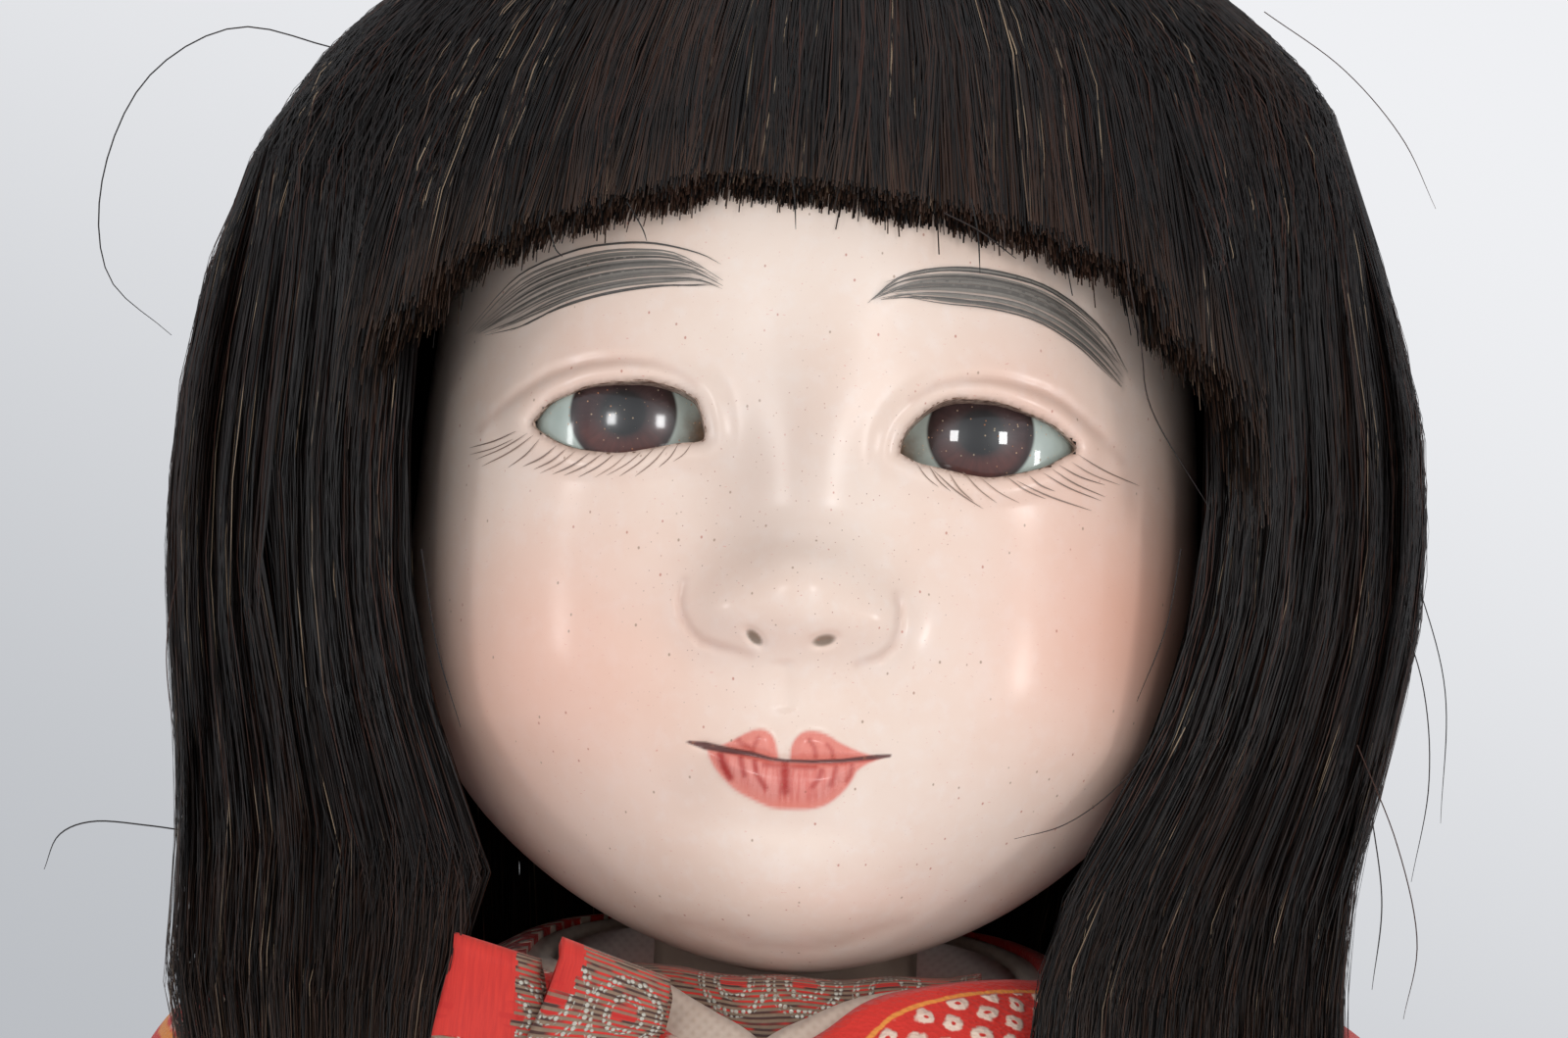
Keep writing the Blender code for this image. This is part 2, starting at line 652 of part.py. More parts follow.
def patch(name, angles, heights, outer, inner, slot):
    # A curved slab between two skins: outer and inner give a point for an angle and a height share.
    bm = bmesh.new()
    skins = [[[bm.verts.new(skin(a, h)) for a in angles] for h in heights] for skin in (outer, inner)]
    across, up = len(angles) - 1, len(heights) - 1
    for rows in skins:
        for low, high in zip(rows, rows[1:]):
            for i in range(across):
                bm.faces.new((low[i], low[i + 1], high[i + 1], high[i]))
    out, into = skins
    for i in range(across):
        for k in (0, up):
            bm.faces.new((out[k][i], out[k][i + 1], into[k][i + 1], into[k][i]))
    for k in range(up):
        for i in (0, across):
            bm.faces.new((out[k][i], out[k + 1][i], into[k + 1][i], into[k][i]))
    return piece(name, finished_mesh(name, bm), slot)


def spaced(first, last, count):
    return [first + (last - first) * i / count for i in range(count + 1)]


def closed_dome(name, wall_out, wall_in, slot, rows=6, steps=ROUND_STEPS):
    # A bowl turned over the head: two domes from the rim up, each closed by a point at the crown.
    bm = bmesh.new()
    angles = [2 * math.pi * i / steps for i in range(steps)]
    rims = []
    for skin, top in ((wall_out, wall_out(0, 1).z), (wall_in, wall_in(0, 1).z)):
        below = None
        for k in range(rows):
            share = math.sin(math.pi / 2 * k / rows)
            ring = [bm.verts.new(skin(a if a <= math.pi else a - 2 * math.pi, share)) for a in angles]
            if below:
                for i in range(steps):
                    j = (i + 1) % steps
                    bm.faces.new((below[i], below[j], ring[j], ring[i]))
            else:
                rims.append(ring)
            below = ring
        crown = bm.verts.new((0, 0, top))
        for i in range(steps):
            bm.faces.new((below[i], below[(i + 1) % steps], crown))
    for i in range(steps):
        j = (i + 1) % steps
        bm.faces.new((rims[0][i], rims[0][j], rims[1][j], rims[1][i]))
    return piece(name, finished_mesh(name, bm), slot)


def wig():
    cap_clear = SOFT_GAP + FACE_HALF_WIDTH * 0.03
    cap_out = cap_clear + CAP_WALL
    hair_clear = cap_out + SOFT_GAP

    def over_head(rim, clear):
        return lambda a, share: head_point(a, rim + (HEAD_HEIGHT - rim) * share, -clear)

    def crown_skin(a, share):
        return hair_point(a, CROWN_RIM_HEIGHT + (HAIR_TOP - CROWN_RIM_HEIGHT) * share)

    closed_dome("wig_cap", over_head(CAP_RIM_HEIGHT, cap_out), over_head(CAP_RIM_HEIGHT, cap_clear),
                "wig_cloth", rows=4)
    closed_dome("hair_crown", crown_skin, over_head(CROWN_RIM_HEIGHT, hair_clear), "hair")

    top = CROWN_RIM_HEIGHT - GAP * 2

    def fringe_height(angle, share):
        low = FRINGE_MIDDLE_HEIGHT - FRINGE_END_DROP * (angle / FRINGE_HALF_ANGLE) ** 2
        return low + (top - low) * share

    def inner_at(angle, height):
        return under_hair_point(angle, height, hair_clear)

    patch("hair_fringe", spaced(-FRINGE_HALF_ANGLE, FRINGE_HALF_ANGLE, 16), spaced(0, 1, 3),
          lambda a, s: hair_point(a, fringe_height(a, s)),
          lambda a, s: inner_at(a, fringe_height(a, s)), "hair")
    seam = GAP * 2 / HAIR_INNER_HALF_WIDTH
    front = FRINGE_HALF_ANGLE + seam
    back = math.pi - BACK_HALF_ANGLE - seam
    for side, word in ((1, "left"), (-1, "right")):
        angles = [side * a for a in spaced(front, back, 8)]
        heights = spaced(SIDE_HAIR_END, top, 6)
        patch("hair_side_" + word, angles, heights, hair_point, inner_at, "hair")
        first = LEFT_LOCK_ANGLE if side > 0 else RIGHT_LOCK_ANGLE
        angles = [side * a for a in spaced(first, LOCK_BACK_ANGLE, 6)]
        heights = spaced(LOCK_END, SIDE_HAIR_END - GAP * 2, 4)
        patch("hair_lock_" + word, angles, heights, lock_skin(LOCK_THICKNESS), lock_skin(0.0), "hair")

    def back_turn(skin):
        return lambda a, h: skin(math.pi + a if a < 0 else a - math.pi if a > 0 else math.pi, h)

    patch("hair_back", spaced(-BACK_HALF_ANGLE, BACK_HALF_ANGLE, 12), spaced(BACK_HAIR_END, top, 7),
          back_turn(hair_point), back_turn(inner_at), "hair")


# Body

def torso():
    hole = NECK_RADIUS + GAP
    chest_shares = (
        (0.0, 0.94, 0.95), (0.35, 1.0, 1.0), (0.62, 1.0, 0.97), (0.84, 1.0, 0.86), (0.93, 0.80, 0.78),
    )
    tall = CHEST_TOP - CHEST_BOTTOM
    rings = [
        body_ring(CHEST_BOTTOM + tall * up, CHEST_HALF_WIDTH * wide, CHEST_HALF_DEPTH * deep,
                  CHEST_HALF_DEPTH * deep, steps=HIDDEN_STEPS)
        for up, wide, deep in chest_shares
    ]
    plate = hole + NECK_FOOT_RADIUS * 0.35
    for radius in (plate, hole):
        rings.append(body_ring(CHEST_TOP, radius, radius, radius, power=2, steps=HIDDEN_STEPS))
    lofted("chest_shell", rings, "composition", False, False, CHEST_WALL)

    middle_shares = ((0.0, 0.98), (0.08, 1.0), (0.5, 0.96), (0.92, 1.0), (1.0, 0.98))
    low, high = MIDDLE_BOTTOM, CHEST_BOTTOM - GAP
    rings = [
        body_ring(low + (high - low) * up, MIDDLE_HALF_WIDTH * size, MIDDLE_HALF_DEPTH * size,
                  MIDDLE_HALF_DEPTH * size, steps=HIDDEN_STEPS)
        for up, size in middle_shares
    ]
    lofted("cloth_middle", rings, "stuffed_cotton")

    hip_shares = ((0.0, 0.62), (0.06, 0.80), (0.25, 0.96), (0.6, 1.0), (1.0, 0.94))
    low, high = HIP_BOTTOM, MIDDLE_BOTTOM - GAP
    rings = [
        body_ring(low + (high - low) * up, HIP_HALF_WIDTH * size, HIP_HALF_DEPTH * size,
                  HIP_HALF_DEPTH * size, steps=HIDDEN_STEPS)
        for up, size in hip_shares
    ]
    lofted("hip_shell", rings, "composition", True, False, HIP_WALL)


def leg(side, word):
    x = side * LEG_SPREAD / 2
    top = HIP_BOTTOM - GAP
    joint = KNEE_HEIGHT + GAP
    thigh_shares = ((1.0, 0.80), (0.96, 0.96), (0.7, 1.0), (0.35, 0.94), (0.05, 0.84), (0.0, 0.78))
    stations = [
        ((x, 0, joint + (top - joint) * up), THIGH_RADIUS * size, THIGH_RADIUS * size)
        for up, size in thigh_shares
    ]
    swept("thigh_" + word, stations, "stuffed_cotton")

    calf_shares = ((1.0, 0.0, 0.84), (0.92, 0.0, 0.96), (0.72, 0.10, 1.0), (0.40, 0.06, 0.84))
    stations = [
        ((x, CALF_RADIUS * bulge, ANKLE_HEIGHT + (KNEE_HEIGHT - ANKLE_HEIGHT) * up),
         CALF_RADIUS * size, CALF_RADIUS * size)
        for up, bulge, size in calf_shares
    ]
    stations.append(((x, 0, ANKLE_HEIGHT), ANKLE_RADIUS, ANKLE_RADIUS * 1.05))
    stations.append(((x, 0, FOOT_HEIGHT * 0.45), ANKLE_RADIUS, ANKLE_RADIUS * 1.05))
    shin = swept("lower_leg_" + word, stations, "shell_white")

    ball = HEEL_BACK - FOOT_LENGTH
    foot_shares = (
        (0.0, 0.45, 0.30), (0.05, 0.72, 0.60), (0.18, 0.84, 0.82), (0.40, 0.84, 1.0), (0.65, 0.94, 0.80),
        (0.88, 1.0, 0.52), (1.0, 0.86, 0.34),
    )
    rings = []
    for along, wide, tall in foot_shares:
        y = HEEL_BACK + (ball - HEEL_BACK) * along
        half_tall = FOOT_HEIGHT * tall / 2
        middle = Vector((x, y, half_tall * 0.86))
        rings.append([
            middle + Vector((FOOT_HALF_WIDTH * wide * signed_power(math.cos(a), 0.8), 0,
                             half_tall * signed_power(math.sin(a), 0.8)))
            for a in [2 * math.pi * i / LIMB_STEPS for i in range(LIMB_STEPS)]
        ])
    foot = hide_as_cutter(lofted("foot_" + word, rings, "shell_white"))
    boolean(shin, foot, "UNION")
    toe_shares = ((-0.72, 1.25, 1.0), (-0.24, 0.90, 0.98), (0.12, 0.84, 0.86), (0.44, 0.80, 0.66),
                  (0.74, 0.76, 0.40))
    for i, (across, thick, reach) in enumerate(toe_shares):
        root = Vector((x + side * FOOT_HALF_WIDTH * across, ball + TOE_LENGTH, TOE_RADIUS * thick))
        tip = root - Vector((0, TOE_LENGTH * (1 + reach) * 0.86, 0))
        stations = round_ended(root, tip, TOE_RADIUS * thick, TOE_RADIUS * thick * 0.95)
        toe = swept("toe_%s_%d" % (word, i + 1), stations, "shell_white", FINGER_STEPS)
        boolean(shin, hide_as_cutter(toe), "UNION")
    bpy.ops.mesh.primitive_cube_add(size=FOOT_LENGTH * 2, location=(x, 0, -FOOT_LENGTH))
    floor = bpy.context.object
    floor.name = "sole_cut_" + word
    boolean(shin, hide_as_cutter(floor), "DIFFERENCE")


def arm(side, word):
    x = side * ARM_SPREAD / 2
    start = side * (CHEST_HALF_WIDTH + GAP)
    bend = UPPER_ARM_RADIUS * 1.3
    elbow = Vector((x, -ELBOW_FORWARD, ELBOW_HEIGHT + GAP))
    data = bpy.data.curves.new("upper_arm_" + word, "CURVE")
    data.dimensions = "3D"
    data.bevel_depth = UPPER_ARM_RADIUS
    data.bevel_resolution = 3
    data.use_fill_caps = True
    data.render_resolution_u = 0
    turn_steps = 5
    route = [Vector((start, 0, SHOULDER_HEIGHT))]
    for i in range(turn_steps + 1):
        turn = math.pi / 2 * i / turn_steps
        route.append(Vector((x - side * bend * (1 - math.sin(turn)), 0,
                             SHOULDER_HEIGHT - bend * (1 - math.cos(turn)))))
    route.append((route[-1] + elbow) / 2)
    route.append(elbow)
    line = data.splines.new("POLY")
    line.points.add(len(route) - 1)
    for point, place in zip(line.points, route):
        point.co = (*place, 1)
    upper = bpy.data.objects.new("upper_arm_" + word, data)
    data.materials.append(material("stuffed_cotton"))
    doll.objects.link(upper)

    wrist = Vector((x, -WRIST_FORWARD, WRIST_HEIGHT))
    top = Vector((x, -ELBOW_FORWARD, ELBOW_HEIGHT - GAP))
    along = (wrist - top).normalized()
    palm_end = wrist + along * PALM_LENGTH
    below = top - Vector((0, 0, FOREARM_RADIUS * 0.5))
    stations = [
        (top, FOREARM_RADIUS * 0.9, FOREARM_RADIUS * 0.9),
        (below, FOREARM_RADIUS, FOREARM_RADIUS),
        (top.lerp(wrist, 0.45), FOREARM_RADIUS * 0.96, FOREARM_RADIUS * 0.96),
        (wrist, WRIST_RADIUS, WRIST_RADIUS * 0.92),
        (wrist.lerp(palm_end, 0.35), PALM_HALF_WIDTH * 0.82, PALM_HALF_THICKNESS * 1.15),
        (wrist.lerp(palm_end, 0.8), PALM_HALF_WIDTH, PALM_HALF_THICKNESS),
        (palm_end, PALM_HALF_WIDTH * 0.92, PALM_HALF_THICKNESS * 0.7),
    ]
    forearm = swept("forearm_" + word, stations, "shell_white", 12)
    finger_shares = ((-0.72, 0.94), (-0.24, 1.06), (0.24, 1.0), (0.72, 0.80))
    for i, (across, length) in enumerate(finger_shares):
        root = palm_end + Vector((-side * PALM_HALF_WIDTH * across, 0, 0)) - along * FINGER_RADIUS * 2
        reach = FINGER_LENGTH * length + FINGER_RADIUS * 2
        tip = root + (along + Vector((0, 0.25, 0))).normalized() * reach
        stations = round_ended(root, tip, FINGER_RADIUS, FINGER_RADIUS * 0.9)
        finger = swept("finger_%s_%d" % (word, i + 1), stations, "shell_white", FINGER_STEPS)
        boolean(forearm, hide_as_cutter(finger), "UNION")
    root = wrist.lerp(palm_end, 0.30) + Vector((side * -PALM_HALF_WIDTH * 0.5, 0, 0))
    tip = root + (along + Vector((-side * 0.75, 0, 0))).normalized() * FINGER_LENGTH * 0.95
    thumb = swept("thumb_" + word, round_ended(root, tip, FINGER_RADIUS * 1.3, FINGER_RADIUS * 1.1),
                  "shell_white", FINGER_STEPS)
    boolean(forearm, hide_as_cutter(thumb), "UNION")


# Clothes

def upper_garment(name, bottom, top, half_width, half_depth, neck_width, slot):
    tall = top - bottom
    rings = [
        body_ring(bottom + tall * up, half_width * wide, half_depth * front, half_depth * back,
                  dip=NECKLINE_DIP * dip)
        for up, wide, front, back, dip in GARMENT_SHARES
    ]
    front = half_depth * 0.67
    back = NECKLINE_BACK * neck_width / NECKLINE_HALF_WIDTH
    rings.append(body_ring(top - CLOTH * 0.3, (half_width * 0.55 + neck_width) / 2, front * 1.06,
                           back * 1.08, power=2.2, dip=NECKLINE_DIP * 0.9))
    rings.append(body_ring(top, neck_width, front, back, power=2.1, dip=NECKLINE_DIP))
    made = lofted(name, rings, slot, False, False, CLOTH)
    hole = cylinder_cutter(name + "_armholes", ARMHOLE_RADIUS, half_width * 3,
                           (0, 0, SHOULDER_HEIGHT), (1, 0, 0))
    boolean(made, hole, "DIFFERENCE")
    return made


def standing_collar(name, half_width, front, back, bottom, stand, lean, dip_low, dip_high, slot):
    rings = [
        body_ring(bottom, half_width, front, back, power=2.1, dip=dip_low),
        body_ring(bottom + stand * 0.5, half_width - lean * 0.5, front - lean * 0.4, back - lean * 0.5,
                  power=2.1, dip=(dip_low + dip_high) / 2),
        body_ring(bottom + stand, half_width - lean, front - lean, back - lean, power=2.1, dip=dip_high),
    ]
    return lofted(name, rings, slot, False, False, CLOTH)


def lapel(side, word, bodice, layers):
    # A strip from the neckline across the chest to the sash, wrapped onto the bodice.
    rows, columns = 12, 3
    top_x, low_x = side * COLLAR_WIDTH * 0.95, -side * COLLAR_WIDTH * 1.7
    bm = bmesh.new()
    verts = []
    for i in range(rows + 1):
        share = i / rows
        z = LAPEL_CROSSING + (LAPEL_BOTTOM - LAPEL_CROSSING) * share
        middle = top_x + (low_x - top_x) * share ** 0.8
        verts.append([bm.verts.new((middle + COLLAR_WIDTH * (k / columns - 0.5), -BODICE_HALF_DEPTH * 2, z))
                      for k in range(columns + 1)])
    for low, high in zip(verts, verts[1:]):
        for k in range(columns):
            bm.faces.new((low[k], high[k], high[k + 1], low[k + 1]))
    for face in bm.faces:
        face.normal_update()
        if face.normal.y > 0:
            face.normal_flip()
    data = bpy.data.meshes.new("kimono_lapel_" + word)
    bm.to_mesh(data)
    bm.free()
    made = piece("kimono_lapel_" + word, data, "red_crepe")
    wrap = made.modifiers.new("wrap", "SHRINKWRAP")
    wrap.target = bodice
    wrap.wrap_method = "PROJECT"
    wrap.use_project_y = True
    wrap.use_positive_direction = True
    wrap.use_negative_direction = False
    wrap.offset = SOFT_GAP + layers * (CLOTH + SOFT_GAP)
    wrap.wrap_mode = "ABOVE_SURFACE"
    wall = made.modifiers.new("wall", "SOLIDIFY")
    wall.thickness = CLOTH
    wall.offset = 1
    return made


def clothes():
    upper_garment("under_robe", BODICE_BOTTOM, ROBE_TOP, ROBE_HALF_WIDTH, ROBE_HALF_DEPTH,
                  NECKLINE_HALF_WIDTH - CLOTH, "white_crepe")
    bodice = upper_garment("kimono_bodice", BODICE_BOTTOM, BODICE_TOP, BODICE_HALF_WIDTH,
                           BODICE_HALF_DEPTH, NECKLINE_HALF_WIDTH, "red_crepe")
    front, back = BODICE_HALF_DEPTH * 0.67, NECKLINE_BACK
    standing_collar("kimono_neckband", NECKLINE_HALF_WIDTH, front, back, BODICE_TOP + GAP,
                    COLLAR_STAND, CLOTH * 0.5, NECKLINE_DIP, NECKLINE_DIP * 1.1, "red_crepe")
    inner = CLOTH + SOFT_GAP
    standing_collar("under_collar", NECKLINE_HALF_WIDTH - inner, front - inner, back - inner,
                    BODICE_TOP - CLOTH, COLLAR_STAND + CLOTH * 2, CLOTH * 0.5, NECKLINE_DIP,
                    NECKLINE_DIP * 1.15, "white_crepe")
    standing_collar("bib", BIB_HALF_WIDTH, BIB_HALF_WIDTH, BIB_HALF_WIDTH, CHEST_TOP + GAP,
                    BIB_HEIGHT, CLOTH * 0.2, 0.0, 0.0, "brocade")
    lapel(-1, "right", bodice, 0)
    lapel(1, "left", bodice, 1)

    skirt_shares = ((0.0, 1.0, 0.98), (0.25, 0.99, 0.95), (0.55, 1.0, 0.96), (0.82, 1.0, 0.98),
                    (0.93, 0.985, 0.90), (1.0, 0.965, 0.87))
    top = BODICE_BOTTOM - GAP
    tall = top - HEM_HEIGHT
    rings = [
        body_ring(HEM_HEIGHT + tall * up, SKIRT_HALF_WIDTH * wide, SKIRT_HALF_DEPTH * deep,
                  SKIRT_HALF_DEPTH * deep)
        for up, wide, deep in skirt_shares
    ]
    lofted("kimono_skirt", rings, "red_crepe", False, False, CLOTH)
    for side, word in ((1, "left"), (-1, "right")):
        sleeve(side, word)


def sleeve(side, word):
    # Sewn at the shoulder against the bodice, it lies on the outside of the arm.
    inner_face = BODICE_HALF_WIDTH + GAP
    thickness = ARM_SPREAD / 2 + UPPER_ARM_RADIUS + SOFT_GAP + CLOTH - inner_face
    # A bag that hangs from the shoulder, thick round the arm and thin below the hand.
    # Rows: height, middle across, half thickness, front and back depth.
    sleeve_shares = (
        (0.0, 0.50, 0.10, 0.92, 0.72), (0.012, 0.50, 0.16, 1.0, 0.80), (0.25, 0.50, 0.22, 1.02, 0.82),
        (0.42, 0.53, 0.45, 1.06, 0.76), (0.60, 0.53, 0.455, 1.0, 0.70), (0.80, 0.50, 0.49, 0.80, 0.68),
        (0.93, 0.48, 0.48, 0.64, 0.62), (0.985, 0.40, 0.40, 0.46, 0.44), (1.0, 0.34, 0.26, 0.28, 0.26),
    )
    tall = SLEEVE_TOP - SLEEVE_BOTTOM
    rings = []
    for up, middle, thick, front, back in sleeve_shares:
        ring = body_ring(SLEEVE_BOTTOM + tall * up, thickness * thick, SLEEVE_HALF_DEPTH * front,
                         SLEEVE_HALF_DEPTH * back, power=SLEEVE_POWER, steps=16)
        shift = Vector((side * (inner_face + thickness * middle), 0, 0))
        rings.append([point + shift for point in ring])
    made = lofted("sleeve_" + word, rings, "red_crepe", True, True, CLOTH)
    x = side * ARM_SPREAD / 2
    armhole = cylinder_cutter("sleeve_armhole_" + word, ARMHOLE_RADIUS, thickness,
                              (side * inner_face, 0, SHOULDER_HEIGHT), (1, 0, 0))
    cuff_centre = (x, -SLEEVE_HALF_DEPTH, WRIST_HEIGHT - PALM_LENGTH * 0.2)
    cuff = cylinder_cutter("cuff_" + word, CUFF_HALF_WIDTH, SLEEVE_HALF_DEPTH * 1.5, cuff_centre, (0, 1, 0))
    cuff.scale = (1, CUFF_HALF_HEIGHT / CUFF_HALF_WIDTH, 1)
    boolean(made, armhole, "DIFFERENCE")
    boolean(made, cuff, "DIFFERENCE")


# Sash

def sash():
    def obi_ring(height, grow=0.0):
        return body_ring(height, OBI_HALF_WIDTH + grow, OBI_HALF_DEPTH + grow, OBI_HALF_DEPTH + grow)

    lofted("obi", [obi_ring(OBI_BOTTOM), obi_ring(OBI_TOP)], "brocade", False, False, OBI_THICKNESS)

    data = bpy.data.curves.new("obi_cord", "CURVE")
    data.dimensions = "3D"
    data.bevel_depth = CORD_RADIUS
    data.bevel_resolution = 1
    data.render_resolution_u = 0
    route = obi_ring((OBI_BOTTOM + OBI_TOP) / 2, CORD_RADIUS + GAP)
    line = data.splines.new("POLY")
    line.points.add(len(route) - 1)
    for point, place in zip(line.points, route):
        point.co = (*place, 1)
    line.use_cyclic_u = True
    cord = bpy.data.objects.new("obi_cord", data)
    data.materials.append(material("sash_cord"))
    doll.objects.link(cord)

    back = OBI_HALF_DEPTH + 2 * CORD_RADIUS + 2 * GAP
    height = (OBI_BOTTOM + OBI_TOP) / 2 + BOW_HEIGHT * 0.12
    steps = 12

    def loop_outline(inset):
        near = BOW_KNOT_HALF_WIDTH + GAP + inset
        far = BOW_HALF_WIDTH - inset
        deep = BOW_DEPTH / 2 - inset
        arc = [(far - deep * (1 - math.cos(math.pi * i / steps - math.pi / 2)),
                deep * math.sin(math.pi * i / steps - math.pi / 2)) for i in range(steps + 1)]
        return [(near, -deep * 0.8)] + arc + [(near, deep * 0.8)]

    for side, word in ((1, "left"), (-1, "right")):
        outline = [(side * px, py) for px, py in loop_outline(0.0)]
        hole = [(side * px, py) for px, py in loop_outline(BOW_WALL)]
        loop = extruded("bow_loop_" + word, outline, BOW_HEIGHT / 2, "brocade", hole)
        loop.location = (0, back + BOW_DEPTH / 2, height)
    knot_depth = BOW_DEPTH * 1.25
    knot_outline = rounded_outline(BOW_KNOT_HALF_WIDTH, knot_depth / 2, 0.5, 24)
    knot = extruded("bow_knot", knot_outline, BOW_HEIGHT * 0.42, "brocade")
    knot.location = (0, back + knot_depth / 2, height)
    tail_top = height - BOW_HEIGHT / 2 - GAP
    tail_outline = [(0, 0), (TAIL_WIDTH, 0), (TAIL_WIDTH * 1.1, -TAIL_LENGTH),
                    (TAIL_WIDTH * 0.05, -TAIL_LENGTH)]
    for side, word in ((1, "left"), (-1, "right")):
        outline = [(side * (px + GAP), py) for px, py in tail_outline]
        tail = extruded("bow_tail_" + word, outline, BOW_WALL / 2, "brocade")
        tail.rotation_euler = (math.pi / 2, 0, 0)
        tail.location = (0, back + BOW_WALL / 2, tail_top)


def brocade_bow():
    # Two upright loops and a knot of the bib's tie, on the front of the right collar.
    steps = 10
    x = -TIE_SIDE
    knot_height = TIE_TOP - TIE_HEIGHT
    knot_half_depth = TIE_DEPTH * 0.6
    y = -bodice_front(x, knot_height - knot_half_depth) - CLOTH - 2 * SOFT_GAP - knot_half_depth

    def loop(name, shift, lean, inset_front):
        def outline(inset):
            radius = TIE_DEPTH / 2 - inset
            top = TIE_HEIGHT - TIE_DEPTH / 2
            arc = [(radius * math.cos(math.pi * i / steps), top + radius * math.sin(math.pi * i / steps))
                   for i in range(steps + 1)]
            return arc + [(-radius, inset), (radius, inset)]
        made = extruded(name, outline(0.0), TIE_WIDTH / 2, "brocade", outline(TIE_WALL))
        made.rotation_euler = (math.pi / 2, lean, math.pi / 2)
        made.location = (x + shift, y + inset_front, knot_height)
        return made

    loop("tie_loop_inner", TIE_WIDTH * 0.52, 0.0, 0.0)
    loop("tie_loop_outer", -TIE_WIDTH * 0.52, 0.0, TIE_DEPTH * 0.2)
    knot_outline = rounded_outline(TIE_WIDTH * 0.7, knot_half_depth, 0.7, 16)
    knot = extruded("tie_knot", knot_outline, knot_half_depth, "brocade")
    knot.location = (x, y, knot_height - knot_half_depth - GAP)


def centre_over_origin():
    # The figure's box is centred over the origin, with its soles on Z = 0.
    bpy.context.view_layer.update()
    depsgraph = bpy.context.evaluated_depsgraph_get()
    places = []
    for made in doll.objects:
        shown = made.evaluated_get(depsgraph)
        places += [shown.matrix_world @ vertex.co for vertex in shown.to_mesh().vertices]
        shown.to_mesh_clear()
    lows = [min(place[axis] for place in places) for axis in range(2)]
    highs = [max(place[axis] for place in places) for axis in range(2)]
    for made in list(doll.objects) + list(cutters.objects):
        for axis in range(2):
            made.location[axis] -= (lows[axis] + highs[axis]) / 2


head()
neck()
wig()
torso()
for side, word in ((1, "left"), (-1, "right")):
    leg(side, word)
    arm(side, word)
clothes()
sash()
brocade_bow()
centre_over_origin()
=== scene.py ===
import bpy, json, math
import numpy as np
from mathutils import Matrix, Vector


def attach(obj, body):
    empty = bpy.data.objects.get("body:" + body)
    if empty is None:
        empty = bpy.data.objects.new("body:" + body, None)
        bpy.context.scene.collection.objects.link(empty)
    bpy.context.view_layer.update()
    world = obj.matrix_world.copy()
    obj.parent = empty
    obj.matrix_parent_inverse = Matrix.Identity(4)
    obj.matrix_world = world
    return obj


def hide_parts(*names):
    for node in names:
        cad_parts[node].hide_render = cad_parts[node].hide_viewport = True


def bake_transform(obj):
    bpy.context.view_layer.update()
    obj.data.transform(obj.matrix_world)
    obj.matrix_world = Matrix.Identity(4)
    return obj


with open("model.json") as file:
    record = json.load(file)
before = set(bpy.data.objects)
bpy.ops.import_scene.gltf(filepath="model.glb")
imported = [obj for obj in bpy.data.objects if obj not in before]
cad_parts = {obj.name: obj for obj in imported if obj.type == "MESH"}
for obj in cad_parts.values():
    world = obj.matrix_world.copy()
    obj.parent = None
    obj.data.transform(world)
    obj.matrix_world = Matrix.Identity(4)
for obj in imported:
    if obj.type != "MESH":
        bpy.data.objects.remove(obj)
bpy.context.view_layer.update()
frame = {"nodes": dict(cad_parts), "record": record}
scene = bpy.context.scene
mm = 0.001
neckY = -5.8456  # the neck's axis; all lengths below are in millimetres
chinZ = 318.0
pixelSize = 0.061  # at the face

# Camera: first, because the photograph's pixels are mapped through it

cameraFacts = {"distance": 450.0, "elevation": -4.0, "azimuth": 0.0, "roll": 2.8, "lens": 166.0,
               "target": (-1.5, -32.0, 346.1), "sensor": 36.0, "frame": (1600, 1059)}


def placeCamera(facts):
    up, across = math.radians(facts["elevation"]), math.radians(facts["azimuth"])
    toCamera = Vector((math.sin(across) * math.cos(up), -math.cos(across) * math.cos(up), math.sin(up)))
    level = Vector((0, 0, 1)).cross(toCamera).normalized()
    upright = toCamera.cross(level)
    roll = math.radians(facts["roll"])
    right = level * math.cos(roll) + upright * math.sin(roll)
    top = upright * math.cos(roll) - level * math.sin(roll)
    place = Vector(facts["target"]) + toCamera * facts["distance"]
    data = bpy.data.cameras.new("studioCamera")
    data.lens, data.sensor_width, data.clip_start, data.clip_end = facts["lens"], facts["sensor"], 0.01, 20
    made = bpy.data.objects.new("studioCamera", data)
    turn = Matrix((right, top, toCamera)).transposed().to_4x4()
    made.matrix_world = Matrix.Translation(place * mm) @ turn
    scene.collection.objects.link(made)
    scene.camera = made
    return [np.array(v) for v in (place, right, top, toCamera)]


eyePoint, frameRight, frameTop, frameBack = placeCamera(cameraFacts)


def rays(pixels):
    # Directions from the camera through pixels of the 1600 x 1059 frame, scaled so that Y runs 1 mm a step.
    wide, tall = cameraFacts["frame"]
    p = np.asarray(pixels, float).reshape(-1, 2)
    u = (p[:, 0] / wide - 0.5) * cameraFacts["sensor"]
    v = (0.5 - p[:, 1] / tall) * cameraFacts["sensor"] * tall / wide
    d = u[:, None] * frameRight + v[:, None] * frameTop - cameraFacts["lens"] * frameBack
    return d / d[:, 1:2]


def onPlane(pixels, y):
    return eyePoint + rays(pixels) * (np.asarray(y, float).reshape(-1, 1) - eyePoint[1])


def onSkin(pixels, depth, rounds=14):
    # Where the rays meet a front surface y = depth(x, z).
    y = np.full(len(np.asarray(pixels, float).reshape(-1, 2)), -30.0)
    for _ in range(rounds):
        at = onPlane(pixels, y)
        y = y * 0.35 + depth(at[:, 0], at[:, 2]) * 0.65
    return onPlane(pixels, y)


# Making meshes

